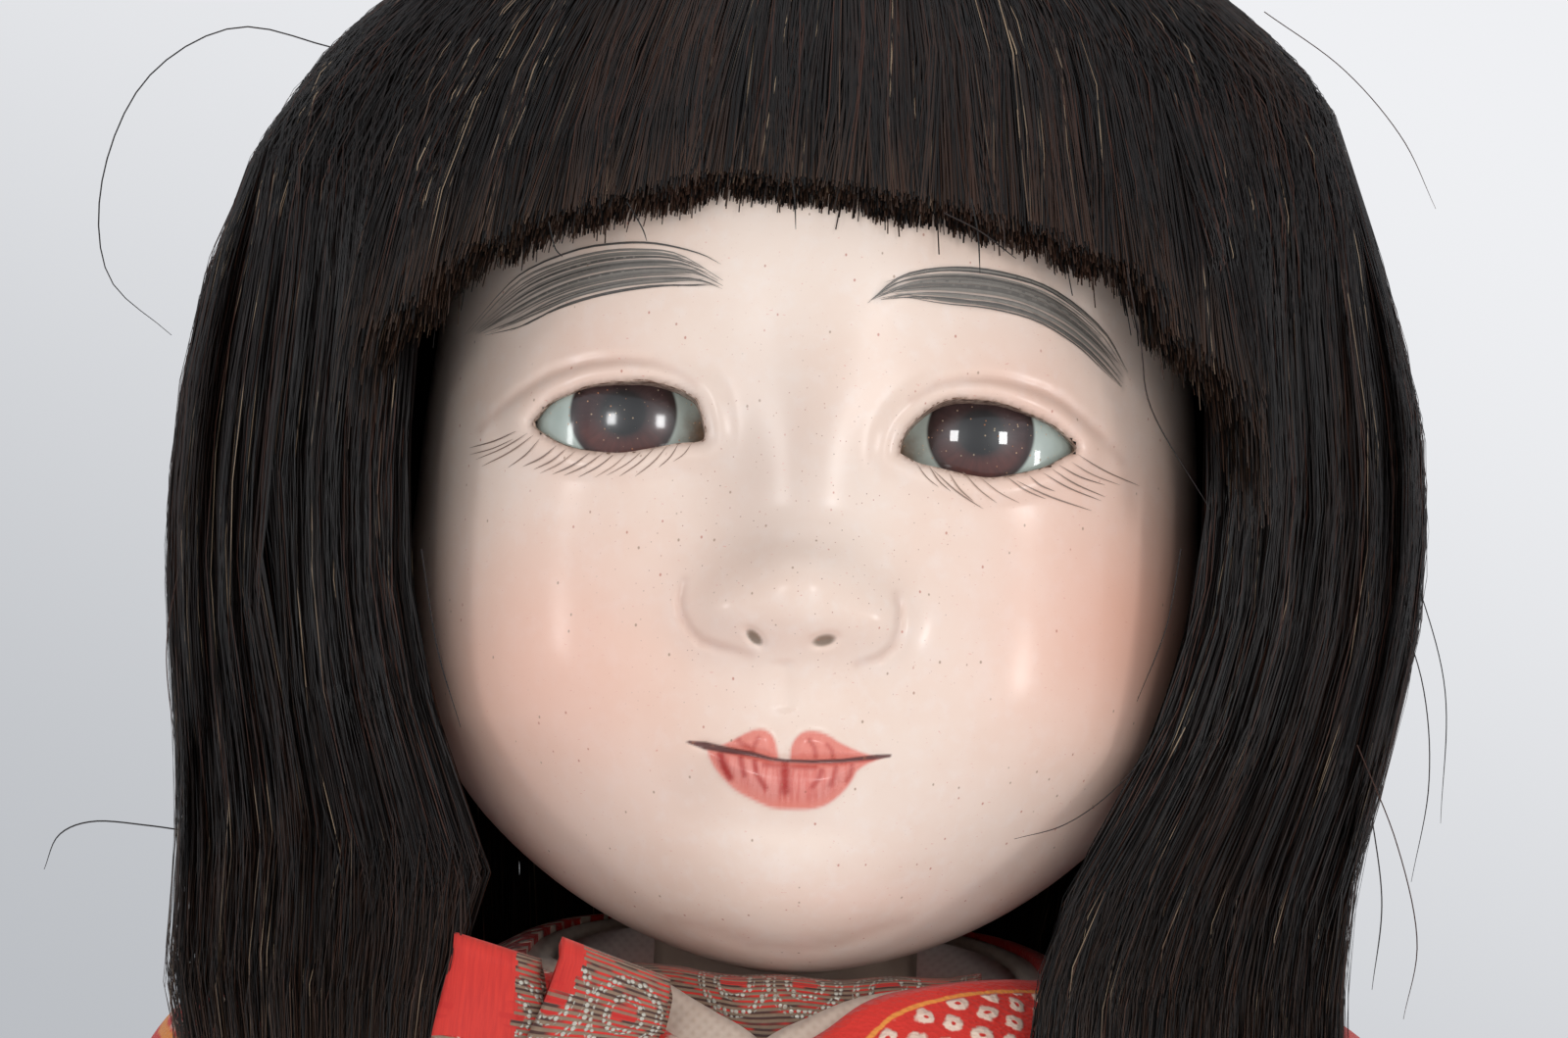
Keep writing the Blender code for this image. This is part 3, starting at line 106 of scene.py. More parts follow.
def buildMesh(name, points, faces, finish, body="head", smooth=True, fields=None):
    points, faces = np.asarray(points, np.float32).reshape(-1, 3) * mm, np.asarray(faces, np.int32)
    corners = faces.shape[1]
    data = bpy.data.meshes.new(name)
    data.vertices.add(len(points))
    data.vertices.foreach_set("co", points.ravel())
    data.loops.add(faces.size)
    data.loops.foreach_set("vertex_index", faces.ravel())
    data.polygons.add(len(faces))
    data.polygons.foreach_set("loop_start", np.arange(len(faces), dtype=np.int32) * corners)
    data.polygons.foreach_set("use_smooth", np.full(len(faces), smooth))
    data.update(calc_edges=True)
    for field, values in (fields or {}).items():
        data.attributes.new(field, "FLOAT", "POINT").data.foreach_set("value", np.asarray(values, np.float32).ravel())
    data.materials.append(finish)
    made = bpy.data.objects.new(name, data)
    scene.collection.objects.link(made)
    if body:
        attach(made, body)
    return made


def gridFaces(rows, columns, closed=False):
    index = np.arange(rows * columns).reshape(rows, columns)
    if closed:
        index = np.hstack([index, index[:, :1]])
    return np.stack([index[:-1, :-1], index[:-1, 1:], index[1:, 1:], index[1:, :-1]], -1).reshape(-1, 4)


def unit(v):
    return v / np.maximum(np.linalg.norm(v, axis=-1, keepdims=True), 1e-9)


def smoothLine(points, count):
    # A Catmull-Rom curve through the points, evenly spaced along its parameter.
    p = np.asarray(points, float)
    p = np.vstack([2 * p[0] - p[1], p, 2 * p[-1] - p[-2]])
    t = np.linspace(0, len(p) - 3 - 1e-6, count)
    k = t.astype(int)
    f = (t - k)[:, None]
    a, b, c, d = p[k], p[k + 1], p[k + 2], p[k + 3]
    return 0.5 * (2 * b + (c - a) * f + (2 * a - 5 * b + 4 * c - d) * f ** 2 + (3 * b - a - 3 * c + d) * f ** 3)


def ease(value, low, high):
    t = np.clip((value - low) / (high - low), 0, 1)
    return t * t * (3 - 2 * t)


def lineDistance(x, z, line):
    # Distance to a polyline in X and Z, and how far along it the nearest place is.
    best, share = np.full(x.shape, 1e9), np.zeros(x.shape)
    total = len(line) - 1
    for k in range(total):
        (ax, az), (bx, bz) = line[k], line[k + 1]
        t = np.clip(((x - ax) * (bx - ax) + (z - az) * (bz - az)) / ((bx - ax) ** 2 + (bz - az) ** 2), 0, 1)
        d = np.hypot(x - ax - t * (bx - ax), z - az - t * (bz - az))
        near = d < best
        best, share = np.where(near, d, best), np.where(near, (k + t) / total, share)
    return best, share


def insideDistance(x, z, outline):
    # Signed distance to a closed outline, positive inside.
    loop = [tuple(p) for p in outline] + [tuple(outline[0])]
    distance, _ = lineDistance(x, z, loop)
    inside = np.zeros(x.shape, bool)
    for (ax, az), (bx, bz) in zip(loop, loop[1:]):
        if az != bz:
            inside ^= ((az > z) != (bz > z)) & (x < (bx - ax) * (z - az) / (bz - az) + ax)
    return np.where(inside, distance, -distance)


# Shader maths and materials

class Value:
    # One shader value; sums and products on it become Math nodes.
    def __init__(self, finish, socket):
        self.finish, self.socket = finish, socket

    def __add__(self, other):
        return self.finish.maths("ADD", self, other)

    def __sub__(self, other):
        return self.finish.maths("SUBTRACT", self, other)

    def __rsub__(self, other):
        return self.finish.maths("SUBTRACT", other, self)

    def __mul__(self, other):
        return self.finish.maths("MULTIPLY", self, other)

    def __truediv__(self, other):
        return self.finish.maths("DIVIDE", self, other)

    def __pow__(self, other):
        return self.finish.maths("POWER", self, other)

    __radd__, __rmul__ = __add__, __mul__


class Finish:
    # A material; node() adds any node, with its settings and its sockets' values or links.
    def __init__(self, name, **sockets):
        self.material = bpy.data.materials.new(name)
        self.material.use_nodes = True
        self.tree = self.material.node_tree
        self.shader = self.tree.nodes["Principled BSDF"]
        for socket, value in sockets.items():
            self.feed(self.shader.inputs[socket.replace("_", " ")], value)

    def feed(self, socket, value):
        if isinstance(value, Value):
            self.tree.links.new(value.socket, socket)
        else:
            socket.default_value = value

    def node(self, kind, settings, sockets, output=0):
        made = self.tree.nodes.new("ShaderNode" + kind)
        for key, value in settings.items():
            setattr(made, key, value)
        for key, value in sockets.items():
            self.feed(made.inputs[key], value)
        return Value(self, made.outputs[output])

    def maths(self, operation, *values):
        return self.node("Math", {"operation": operation}, dict(enumerate(values)))

    def mix(self, factor, one, two):
        return self.node("Mix", {"data_type": "RGBA", "clamp_factor": True}, {0: factor, 6: one, 7: two}, 2)

    def step(self, value, low, high):
        return self.node("MapRange", {"interpolation_type": "SMOOTHSTEP"}, {0: value, 1: low, 2: high, 3: 0, 4: 1})

    def place(self):
        # The rest position in millimetres.
        spot = self.node("TexCoord", {}, {}, "Object")
        return self.node("VectorMath", {"operation": "SCALE"}, {0: spot, "Scale": 1000.0})

    def stretch(self, vector, factors):
        return self.node("VectorMath", {"operation": "MULTIPLY"}, {0: vector, 1: factors})

    def distance(self, vector, spot):
        return self.node("VectorMath", {"operation": "DISTANCE"}, {0: vector, 1: spot}, "Value")

    def parts(self, vector):
        split = self.node("SeparateXYZ", {}, {0: vector}).socket.node
        return [Value(self, split.outputs[k]) for k in range(3)]

    def join(self, x, y, z=0.0):
        return self.node("CombineXYZ", {}, {0: x, 1: y, 2: z})

    def noise(self, vector, scale, detail=3.0, output=0):
        return self.node("TexNoise", {}, {0: vector, "Scale": scale, "Detail": detail, "Roughness": 0.55}, output)

    def cells(self, vector, scale, random=1.0, output="Distance"):
        return self.node("TexVoronoi", {}, {0: vector, "Scale": scale, "Randomness": random}, output)

    def field(self, name):
        return self.node("Attribute", {"attribute_name": name}, {}, "Fac")

    def relief(self, height, distance, strength=1.0):
        bump = self.node("Bump", {}, {"Height": height, "Distance": distance * mm, "Strength": strength})
        self.tree.links.new(bump.socket, self.shader.inputs["Normal"])

    def set(self, **sockets):
        for socket, value in sockets.items():
            self.feed(self.shader.inputs[socket.replace("_", " ")], value)
        return self.material


def colour(r, g, b):
    # A colour as it is seen on the screen, 0 to 255, as the linear one a shader takes.
    return tuple((c / 255 / 12.92) if c <= 10 else ((c / 255 + 0.055) / 1.055) ** 2.4 for c in (r, g, b)) + (1.0,)


# Face: the same head shape as the solid, with finer relief

headFacts = {"halfWidth": 25.1, "depth": 26.2, "height": 71.0, "widest": 33.0, "back": 30.0, "napeRise": 20.0,
             "ovalPower": 2.25, "chinPower": 3.6, "chinDrop": (0.85, 12.0),
             "jaw": ([0, 8, 15, 21, 30, 40], [2.9, 3.3, 3.0, 1.8, 0.6, 0])}
ovalPower = headFacts["ovalPower"]

# Broad forms: across, height, spread across, spread in height, rise, power
broadForms = [
    (0.0, 4.8, 8.3, 5.0, 2.1, 2), (17.0, 15.4, 8.0, 9.0, 2.1, 2), (-17.6, 16.6, 8.0, 9.0, 2.0, 2),
    (-0.4, 14.1, 8.0, 6.5, 1.5, 2), (-0.2, 29.4, 5.4, 8.4, 0.8, 2), (-0.4, 23.2, 4.4, 3.4, 3.2, 2.7),
    (-5.2, 22.3, 2.2, 2.4, 1.5, 2), (4.8, 22.1, 2.2, 2.4, 1.5, 2), (12.2, 35.0, 6.4, 4.2, 0.7, 2),
    (-12.2, 35.0, 6.4, 4.2, 0.7, 2), (0.0, 52.7, 17.6, 11.3, 0.75, 2), (5.6, 33.4, 4.6, 7.6, -0.2, 2),
    (-5.6, 33.4, 4.6, 7.6, -0.2, 2),
]


def formRise(x, z):
    rise = np.zeros(np.shape(x))
    for across, height, wide, tall, lift, power in broadForms:
        rise = rise + lift * np.exp(-np.abs((x - across) / wide) ** power - np.abs((z - height) / tall) ** power)
    return rise


def signedPower(value, power):
    return np.sign(value) * np.abs(value) ** power


def headSizes(z, limit=0.9999):
    # How far from its widest place this height is, and the shares of the width and of the depth left there.
    widest = headFacts["widest"]
    level = np.where(z < widest, (widest - z) / widest, (z - widest) / (headFacts["height"] - widest))
    level = np.clip(level, 0, limit)
    side, chin = [(1 - level ** power) ** (1 / power) for power in (ovalPower, headFacts["chinPower"])]
    return level, side, np.where(z < widest, chin, side)


def chinDrop(z):
    drop, height = headFacts["chinDrop"]
    return drop * (1 - ease(z, 0.0, height))


def fullerJaw(x, z):
    # The cheeks and jaw are fuller than a plain oval; the middle of the face stays where it is.
    half = headFacts["halfWidth"] * headSizes(np.minimum(z, headFacts["widest"]))[1]
    return np.sign(x) * np.interp(z, *headFacts["jaw"]) * np.clip(np.abs(x) / half, 0, 1) ** 3


def plainDepth(x, z):
    # y of the front skin at a height above the chin, without its small forms.
    _, side, fore = headSizes(z)
    share = np.clip(np.abs(x) / (headFacts["halfWidth"] * side), 0, 1)
    along = (1 - share ** ovalPower) ** (1 / ovalPower)
    rise = formRise(x, z) * along ** (ovalPower / 2)
    return neckY - headFacts["depth"] * (side + (fore - side) * along) * along - rise


def broadDepth(x, worldZ):
    return plainDepth(x, worldZ - chinZ)


def facePixels(pixels):
    at = onSkin(pixels, broadDepth)
    return np.stack([at[:, 0], at[:, 2] - chinZ], 1)


# Features of the face, in pixels of the photograph
eyeLines = {
    "right": {"upper": [(545, 430), (562, 411), (582, 401), (602, 393), (635, 389), (664, 389), (688, 395),
                        (700, 401), (711, 409), (718, 432)],
              "lower": [(717, 449), (692, 452), (660, 458), (631, 462), (596, 459), (572, 452), (549, 438)],
              "crease": [(494, 438), (512, 418), (531, 401), (562, 381), (602, 369), (635, 366), (664, 369),
                         (690, 379), (710, 392)],
              "iris": (636, 421)},
    "left": {"upper": [(918, 462), (921, 448), (929, 434), (948, 417), (968, 408), (991, 407), (1019, 410),
                       (1044, 419), (1064, 428), (1080, 438), (1097, 457)],
             "lower": [(1082, 468), (1064, 477), (1029, 485), (1007, 487), (982, 483), (958, 477), (937, 472)],
             "crease": [(930, 409), (946, 399), (958, 391), (982, 386), (1007, 385), (1033, 389), (1064, 399),
                        (1084, 410), (1105, 428), (1125, 448), (1142, 471)],
             "iris": (1001, 441)},
}
noseLines = {
    "wingRight": [(699, 592), (694, 612), (696, 627), (704, 642), (715, 654), (733, 661), (767, 668)],
    "wingLeft": [(914, 606), (919, 620), (918, 640), (911, 660), (897, 672), (874, 677)],
    "nostrils": [((770, 650), 12, 6, 40), ((841, 653), 14, 6.5, -15)],
    "philtrum": [(800, 672), (800, 700), (801, 728)],
}
mouthLines = {
    "parting": [(704, 757), (722, 761), (741, 765), (767, 769), (786, 774), (802, 776), (828, 777), (859, 776),
                (886, 773), (907, 771)],
    "lobeRight": [(737, 760), (748, 755), (757, 750), (768, 745), (778, 744), (786, 748), (791, 756), (793, 765),
                  (794, 775), (786, 774), (767, 769), (750, 766)],
    "lobeLeft": [(806, 776), (807, 764), (810, 756), (815, 750), (822, 746), (833, 746), (845, 750), (856, 757),
                 (868, 763), (880, 768), (890, 772), (859, 776), (828, 777)],
    "lower": [(722, 764), (726, 776), (733, 788), (742, 798), (752, 807), (765, 814), (778, 820), (790, 824),
              (808, 825),
              (826, 825), (840, 822), (852, 815), (862, 806), (870, 795), (875, 786), (886, 779), (900, 773),
              (886, 773),
              (859, 776), (828, 777), (802, 776), (786, 774), (767, 769), (741, 765)],
    "chinFold": [(689, 939), (732, 950), (767, 963), (810, 968), (854, 963), (897, 948), (919, 941)],
}
# Red strokes on the lips: their line, half width in pixels and strength
lipStrokes = [
    ([(736, 770), (739, 782), (745, 793)], 4.2, 1.0), ([(756, 772), (757, 781), (760, 791)], 3.2, 0.8),
    ([(770, 777), (772, 790), (781, 804)], 3.0, 0.85), ([(801, 776), (801, 790), (801, 806)], 6.0, 0.95),
    ([(838, 786), (836, 794), (829, 803)], 3.0, 0.7), ([(853, 783), (851, 792), (847, 801)], 3.0, 0.6),
    ([(869, 780), (868, 789), (864, 797)], 2.6, 0.6), ([(752, 752), (756, 758), (766, 764)], 3.0, 0.5),
    ([(774, 753), (770, 760), (768, 767)], 2.6, 0.5), ([(826, 755), (831, 763), (832, 772)], 2.6, 0.55),
    ([(844, 760), (849, 766), (850, 773)], 2.6, 0.5), ([(780, 780), (802, 782), (832, 783)], 3.4, 0.6),
    ([(741, 767), (790, 777), (850, 779), (890, 775)], 2.4, 0.55),
]

lidRings = {side: facePixels(lines["upper"] + lines["lower"]) for side, lines in eyeLines.items()}
lidRings = {side: smoothLine(np.vstack([ring, ring[:1]]), 140)[:-1] for side, ring in lidRings.items()}
creases = {side: facePixels(lines["crease"]) for side, lines in eyeLines.items()}
wings = [facePixels(noseLines[k]) for k in ("wingRight", "wingLeft")]
philtrum = facePixels(noseLines["philtrum"])
parting = facePixels(mouthLines["parting"])
lipRings = [facePixels(mouthLines[k]) for k in ("lobeRight", "lobeLeft", "lower")]
lipRings = [smoothLine(np.vstack([ring, ring[:1]]), 60)[:-1] for ring in lipRings]
chinFold = facePixels(mouthLines["chinFold"]) + np.array([0.0, 0.8])
nostrilSpots = [(facePixels([spot])[0], long * pixelSize, short * pixelSize, math.radians(-turn))
                for spot, long, short, turn in noseLines["nostrils"]]


def groove(x, z, line, kind):
    depth, wide, taper = reliefFacts[kind]
    distance, share = lineDistance(x, z, line)
    return -depth * np.clip(np.minimum(share, 1 - share) / taper, 0, 1) * np.exp(-(distance / wide) ** 2)


def nostrilShare(x, z):
    total = np.zeros(x.shape)
    for (cx, cz), long, short, turn in nostrilSpots:
        u = (x - cx) * math.cos(turn) + (z - cz) * math.sin(turn)
        v = -(x - cx) * math.sin(turn) + (z - cz) * math.cos(turn)
        total += np.exp(-((u / long) ** 2 + (v / short) ** 2) ** 1.5)
    return total


# Grooves: depth, half width and the share of the line over which each end runs out
reliefFacts = {"lidFold": (0.34, 0.42, 0.25), "wing": (0.34, 0.26, 0.2), "philtrum": (0.22, 0.65, 0.1),
               "parting": (0.25, 0.30, 0.1), "chinFold": (0.30, 0.6, 0.3)}


def fineRise(x, z):
    # Small forms on the broad ones: how far the skin stands out.
    rise = np.zeros(x.shape)
    for side in ("left", "right"):
        inLid = insideDistance(x, z, lidRings[side])
        rise += groove(x, z, creases[side], "lidFold")
        rise += 0.30 * np.exp(-((inLid + 0.9) / 0.75) ** 2) - 0.20 * np.exp(-(inLid / 0.35) ** 2)
    for line in wings:
        rise += groove(x, z, line, "wing")
    rise += groove(x, z, philtrum, "philtrum") - 0.55 * nostrilShare(x, z)
    lobes = [insideDistance(x, z, ring) for ring in lipRings]
    rise += 0.40 * ease(np.maximum(lobes[0], lobes[1]), -0.35, 0.75) + 0.75 * ease(lobes[2], -0.35, 1.5)
    rise += groove(x, z, parting, "parting") + groove(x, z, chinFold, "chinFold")
    return rise - 0.30 * np.exp(-((z - 9.0) / 0.9) ** 2 - ((x + 0.5) / 4) ** 2)  # the dip under the lower lip


def skinDepth(x, worldZ):
    # The finished skin: the fuller jaw is undone first, because the small forms are laid out on the plain head.
    x, z = np.asarray(x, float), np.asarray(worldZ, float) - chinZ
    plain = x - fullerJaw(x, z)
    plain = x - fullerJaw(plain, z)
    return plainDepth(plain, z) - fineRise(plain, z)


def shares(bands):
    out = []
    for low, high, count in bands:
        out += list(np.linspace(low, high, count, endpoint=False))
    return np.array(out + [bands[-1][1]])


faceFinish = Finish("shellWhiteFace", Roughness=0.36, Coat_Weight=0.45, Coat_Roughness=0.2)


def faceMesh():
    heights = shares([(0.0, 0.4, 4), (0.4, 8.0, 22), (8.0, 12.0, 24), (12.0, 14.6, 32), (14.6, 27.5, 80),
                      (27.5, 40.5, 66), (40.5, 71.0, 50)])
    halfway = shares([(0.0, 9.5, 58), (9.5, 20.5, 50), (20.5, 25.1 - 0.35, 16)]) / headFacts["halfWidth"]
    turn = np.arcsin(np.clip(halfway, 0, 1) ** (ovalPower / 2))
    turn = np.concatenate([turn, np.linspace(turn[-1], math.pi / 2, 26)[1:]])
    turn = np.concatenate([-turn[:0:-1], turn])
    z, angle = np.repeat(heights[:, None], len(turn), 1), np.repeat(turn[None, :], len(heights), 0)
    level, side, fore = headSizes(z, 0.99999)
    along = signedPower(np.cos(angle), 2 / ovalPower)
    x = headFacts["halfWidth"] * side * signedPower(np.sin(angle), 2 / ovalPower)
    depth = headFacts["depth"] * (side + (fore - side) * np.maximum(0, along)) * along
    y = -depth - (fineRise(x, z) + formRise(x, z)) * np.maximum(0, np.cos(angle))
    slope = np.clip((y + headFacts["depth"] * 0.6) / (headFacts["depth"] + headFacts["back"]) * 1.6, 0, 1)
    up = np.where(z < headFacts["widest"], headFacts["napeRise"] * level ** 2 * slope ** 2 * (3 - 2 * slope), 0.0)
    # The lids' edges: grid points near an opening move onto its outline, and the faces inside it go.
    flatX, flatZ = x.ravel().copy(), z.ravel().copy()
    hole = np.zeros(len(flatX), bool)
    for word in ("left", "right"):
        ring = lidRings[word]
        inside = insideDistance(flatX, flatZ, ring)
        front = y.ravel() < -8
        for k in np.nonzero(front & (np.abs(inside) < 0.13))[0]:
            flatX[k], flatZ[k] = ring[np.argmin((ring[:, 0] - flatX[k]) ** 2 + (ring[:, 1] - flatZ[k]) ** 2)]
        hole |= front & (inside > 0.13)
    height = flatZ + up.ravel() - chinDrop(flatZ) + chinZ
    points = np.stack([flatX + fullerJaw(flatX, flatZ), y.ravel() + neckY, height], 1)
    faces = gridFaces(len(heights), len(turn))
    faces = faces[~hole[faces].any(1)]
    made = buildMesh("faceSkin", points, faces, faceFinish.material, fields=paintFields(x.ravel(), z.ravel()))
    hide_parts("face_shell")


browLines = {
    "right": {"top": [(477, 340), (516, 296), (545, 277), (579, 263), (614, 255), (645, 253), (674, 254),
                      (703, 262), (738, 285)],
              "low": [(494, 341), (527, 336), (559, 319), (594, 306), (631, 297), (674, 291), (703, 291),
                      (722, 289), (738, 295)]},
    "left": {"top": [(885, 309), (896, 291), (927, 279), (958, 273), (984, 273), (1012, 276), (1045, 283),
                     (1069, 292), (1097, 311), (1121, 332), (1140, 356), (1150, 379)],
             "low": [(896, 306), (920, 303), (950, 308), (981, 313), (1022, 317), (1057, 328), (1088, 346),
                     (1109, 363), (1123, 377), (1138, 392), (1147, 405)]},
}
browOutlines = {side: facePixels(lines["top"] + lines["low"][::-1]) for side, lines in browLines.items()}
# Half width of the dark line between the lips, in millimetres, along it from the doll's right
seamWidths = ([0, 0.10, 0.2, 0.45, 0.6, 0.85, 0.93, 1], [0.08, 0.24, 0.20, 0.10, 0.09, 0.12, 0.15, 0.09])
# Blush, and painted shade beside the bridge of the nose, between the eyes and below the mouth's corner: place, spread
# across, spread in height and strength
blushSpots = [((560, 690), 9.5, 9.5, 0.85), ((1165, 650), 10.0, 10.0, 1.15), ((600, 375), 4.5, 4.5, 0.35),
              ((1050, 395), 5.0, 5.0, 0.35)]
paintedShadeSpots = [((770, 490), 4.0, 8.5, 0.75), ((830, 450), 4.5, 6.0, 0.35), ((716, 800), 2.2, 1.8, 0.35)]


def softSpots(x, z, spots):
    total = np.zeros(x.shape)
    for spot, wide, tall, strength in spots:
        cx, cz = facePixels([spot])[0]
        total += strength * np.exp(-((x - cx) / wide) ** 2 - ((z - cz) / tall) ** 2)
    return total


def paintFields(x, z):
    lobes = [insideDistance(x, z, ring) for ring in lipRings]
    lip = np.max([ease(lobe, -0.11, 0.13) for lobe in lobes], 0)
    red, brow, dirt = np.zeros(x.shape), np.zeros(x.shape), np.zeros(x.shape)
    for line, half, strength in lipStrokes:
        away, _ = lineDistance(x, z, facePixels(line))
        red = np.maximum(red, strength * np.exp(-np.abs(away / (half * pixelSize)) ** 2.6))
    for side in ("left", "right"):
        brow += ease(insideDistance(x, z, browOutlines[side]), -0.05, 0.55)
        dirt += np.exp(-(insideDistance(x, z, lidRings[side]) / 0.22) ** 2)
    folds = [creases["left"], creases["right"], chinFold] + wings
    distance, share = lineDistance(x, z, parting)
    return {"seam": ease(np.interp(share, *seamWidths) - distance, -0.07, 0.06),
            "blush": softSpots(x, z, blushSpots), "shade": softSpots(x, z, paintedShadeSpots),
            "lip": lip, "lipRim": ease(lobes[2], 0.75, 0.2) * lip, "lipRed": red, "brow": brow, "dirt": dirt,
            "crease": sum(np.exp(-(lineDistance(x, z, line)[0] / 0.30) ** 2) for line in folds),
            "nostril": nostrilShare(x, z)}


def skinFinish(f, painted):
    # Burnished shell white: creamy, faintly mottled, with tiny fibre specks under the gloss.
    at = f.place()
    cream = f.mix(f.step(f.noise(at, 0.11, 4), 0.35, 0.68), colour(242, 222, 207), colour(238, 213, 196))
    cream = f.mix(f.step(f.noise(at, 0.9, 5), 0.45, 0.75) * 0.35, cream, colour(244, 231, 222))
    if painted:
        cream = f.mix(f.maths("MINIMUM", f.field("blush") * 0.62, 0.9), cream, colour(240, 168, 140))
        # Painted shade beside the bridge of the nose, between the eyes and below the mouth's corner.
        cream = f.mix(f.field("shade") * 0.55, cream, colour(186, 164, 152))
        cream = f.mix(f.field("crease") * 0.22, cream, colour(178, 128, 108))
        cream = f.mix(f.field("dirt") * (0.35 + f.noise(at, 2.4, 4) * 0.6), cream, colour(120, 84, 62))
        cream = f.mix(f.field("brow") * 0.45, cream, colour(116, 110, 106))
        cream = f.mix(f.step(f.field("nostril"), 0.3, 0.9) * 0.85, cream, colour(112, 92, 72))
        stroke = f.noise(f.stretch(at, (4.2, 0.3, 0.45)), 0.9, 3)
        red = f.mix(f.step(stroke, 0.42, 0.66), colour(232, 148, 136), colour(222, 122, 110))
        red = f.mix(f.field("lipRim") * 0.8, red, colour(233, 140, 124))
        red = f.mix(f.field("lipRed") * (0.8 + f.noise(at, 3.0, 3) * 0.4), red, colour(174, 42, 34))
        cream = f.mix(f.field("lip"), cream, red)
        worn = f.step(f.noise(at, 1.6, 2), 0.58, 0.68)
        cream = f.mix(f.field("seam") * 0.94, cream, f.mix(worn, colour(78, 15, 13), colour(122, 62, 34)))
        nose = f.step(f.distance(at, (-1.0, -32.0, chinZ + 27.0)), 17.0, 5.0)  # specks are densest round the nose
        fine = f.cells(at, 2.7)
        pick = f.parts(f.cells(at, 2.7, output="Color"))
        grit = (1 - f.step(fine, 0.07, 0.15)) * f.step(pick[0], 0.55, 0.6) * (nose * 0.8 + 0.15)
        cream = f.mix(grit * 0.75, cream, f.mix(pick[1], colour(176, 84, 66), colour(128, 98, 78)))
    specks = f.cells(f.stretch(at, (1.0, 1.0, 0.75)), 1.25)
    chance = f.parts(f.cells(f.stretch(at, (1.0, 1.0, 0.75)), 1.25, output="Color"))
    dots = (1 - f.step(specks, 0.06, 0.125)) * f.step(chance[0], 0.62, 0.66)
    cream = f.mix(dots * 0.7, cream, f.mix(f.step(chance[1], 0.4, 0.6), colour(186, 104, 84), colour(150, 118, 92)))
    lint = f.noise(f.stretch(at, (1.6, 1.6, 5.0)), 1.6, 2)
    cream = f.mix(f.step(lint, 0.725, 0.75) * 0.5, cream, colour(214, 120, 104))
    f.relief(f.noise(at, 1.6, 4) * 0.6 + f.noise(at, 0.35, 2), 0.025, 0.5)
    rough = 0.32 + f.noise(at, 0.8, 4) * 0.14
    return f.set(Base_Color=cream, Roughness=rough - f.field("lip") * 0.12 if painted else rough)


skinFinish(faceFinish, True)
faceMesh()
print("face done")


# Glass eyes

eyeFacts = {"across": {"left": 10.7, "right": -11.3}, "centreY": -16.6, "height": 33.6, "radius": 12.0, "reach": 6.3,
            "glassAcross": 11.1, "iris": 3.36, "pupil": 1.38, "gloss": {"left": 0.03, "right": 0.10}}


def eyeFinish(word, gaze, corners):
    f = Finish("glassEye" + word.title(), Coat_Weight=1.0, Coat_Roughness=eyeFacts["gloss"][word], Coat_IOR=1.5)
    at = f.place()
    offset = f.node("VectorMath", {"operation": "SUBTRACT"}, {0: at, 1: tuple(gaze)})
    x, _, z = f.parts(offset)
    far = f.maths("SQRT", x * x + z * z)
    spin = f.maths("ARCTAN2", z, x)
    fibre = f.noise(f.join(spin * 5.0, far * 0.35), 1.6, 4)
    white = f.mix(f.noise(at, 0.5, 3), colour(190, 201, 192), colour(164, 176, 168))
    body = f.mix(fibre, colour(34, 20, 21), colour(76, 50, 50))
    body = f.mix(f.step(z, 0.2, -2.4) * 0.8, body, f.mix(fibre, colour(70, 28, 22), colour(112, 52, 40)))
    body = f.mix(f.step(far, 2.1, 1.1) * 0.9, body, colour(22, 17, 20))
    body = f.mix(f.step(far, 2.6, 3.3) * 0.85, body, colour(30, 18, 17))
    eye = f.mix(f.step(far, eyeFacts["iris"] + 0.14, eyeFacts["iris"] - 0.10), white, body)
    eye = f.mix(f.step(far, eyeFacts["pupil"] + 0.20, eyeFacts["pupil"] - 0.14), eye, colour(9, 10, 14))
    for spot, reach in corners:
        grime = f.step(f.distance(at, tuple(spot)) + f.noise(at, 1.1, 4) * 1.6, reach, reach * 0.35)
        eye = f.mix(grime * 0.85, eye, f.mix(f.noise(at, 3.5, 3), colour(52, 34, 24), colour(150, 104, 62)))
    grains = f.cells(at, 3.4)
    chance = f.parts(f.cells(at, 3.4, output="Color"))
    dust = (1 - f.step(grains, 0.10, 0.24)) * f.step(chance[0], 0.60, 0.64)
    eye = f.mix(dust * 0.7, eye, f.mix(chance[1], colour(206, 128, 72), colour(222, 206, 176)))
    f.relief(dust, 0.03, 0.6)
    return f.set(Base_Color=eye, Roughness=0.30 + dust * 0.4)


def glassDepth(side, word):
    centre = (eyeFacts["across"][word], eyeFacts["centreY"], eyeFacts["height"] + chinZ)

    def depth(x, z):
        out = side * (x - centre[0])
        out = out + 0.6 * np.maximum(0, out - 2.8)
        inside = np.maximum(eyeFacts["radius"] ** 2 - out ** 2 - (z - centre[2]) ** 2, 1.0)
        return centre[1] - np.sqrt(inside)
    return depth


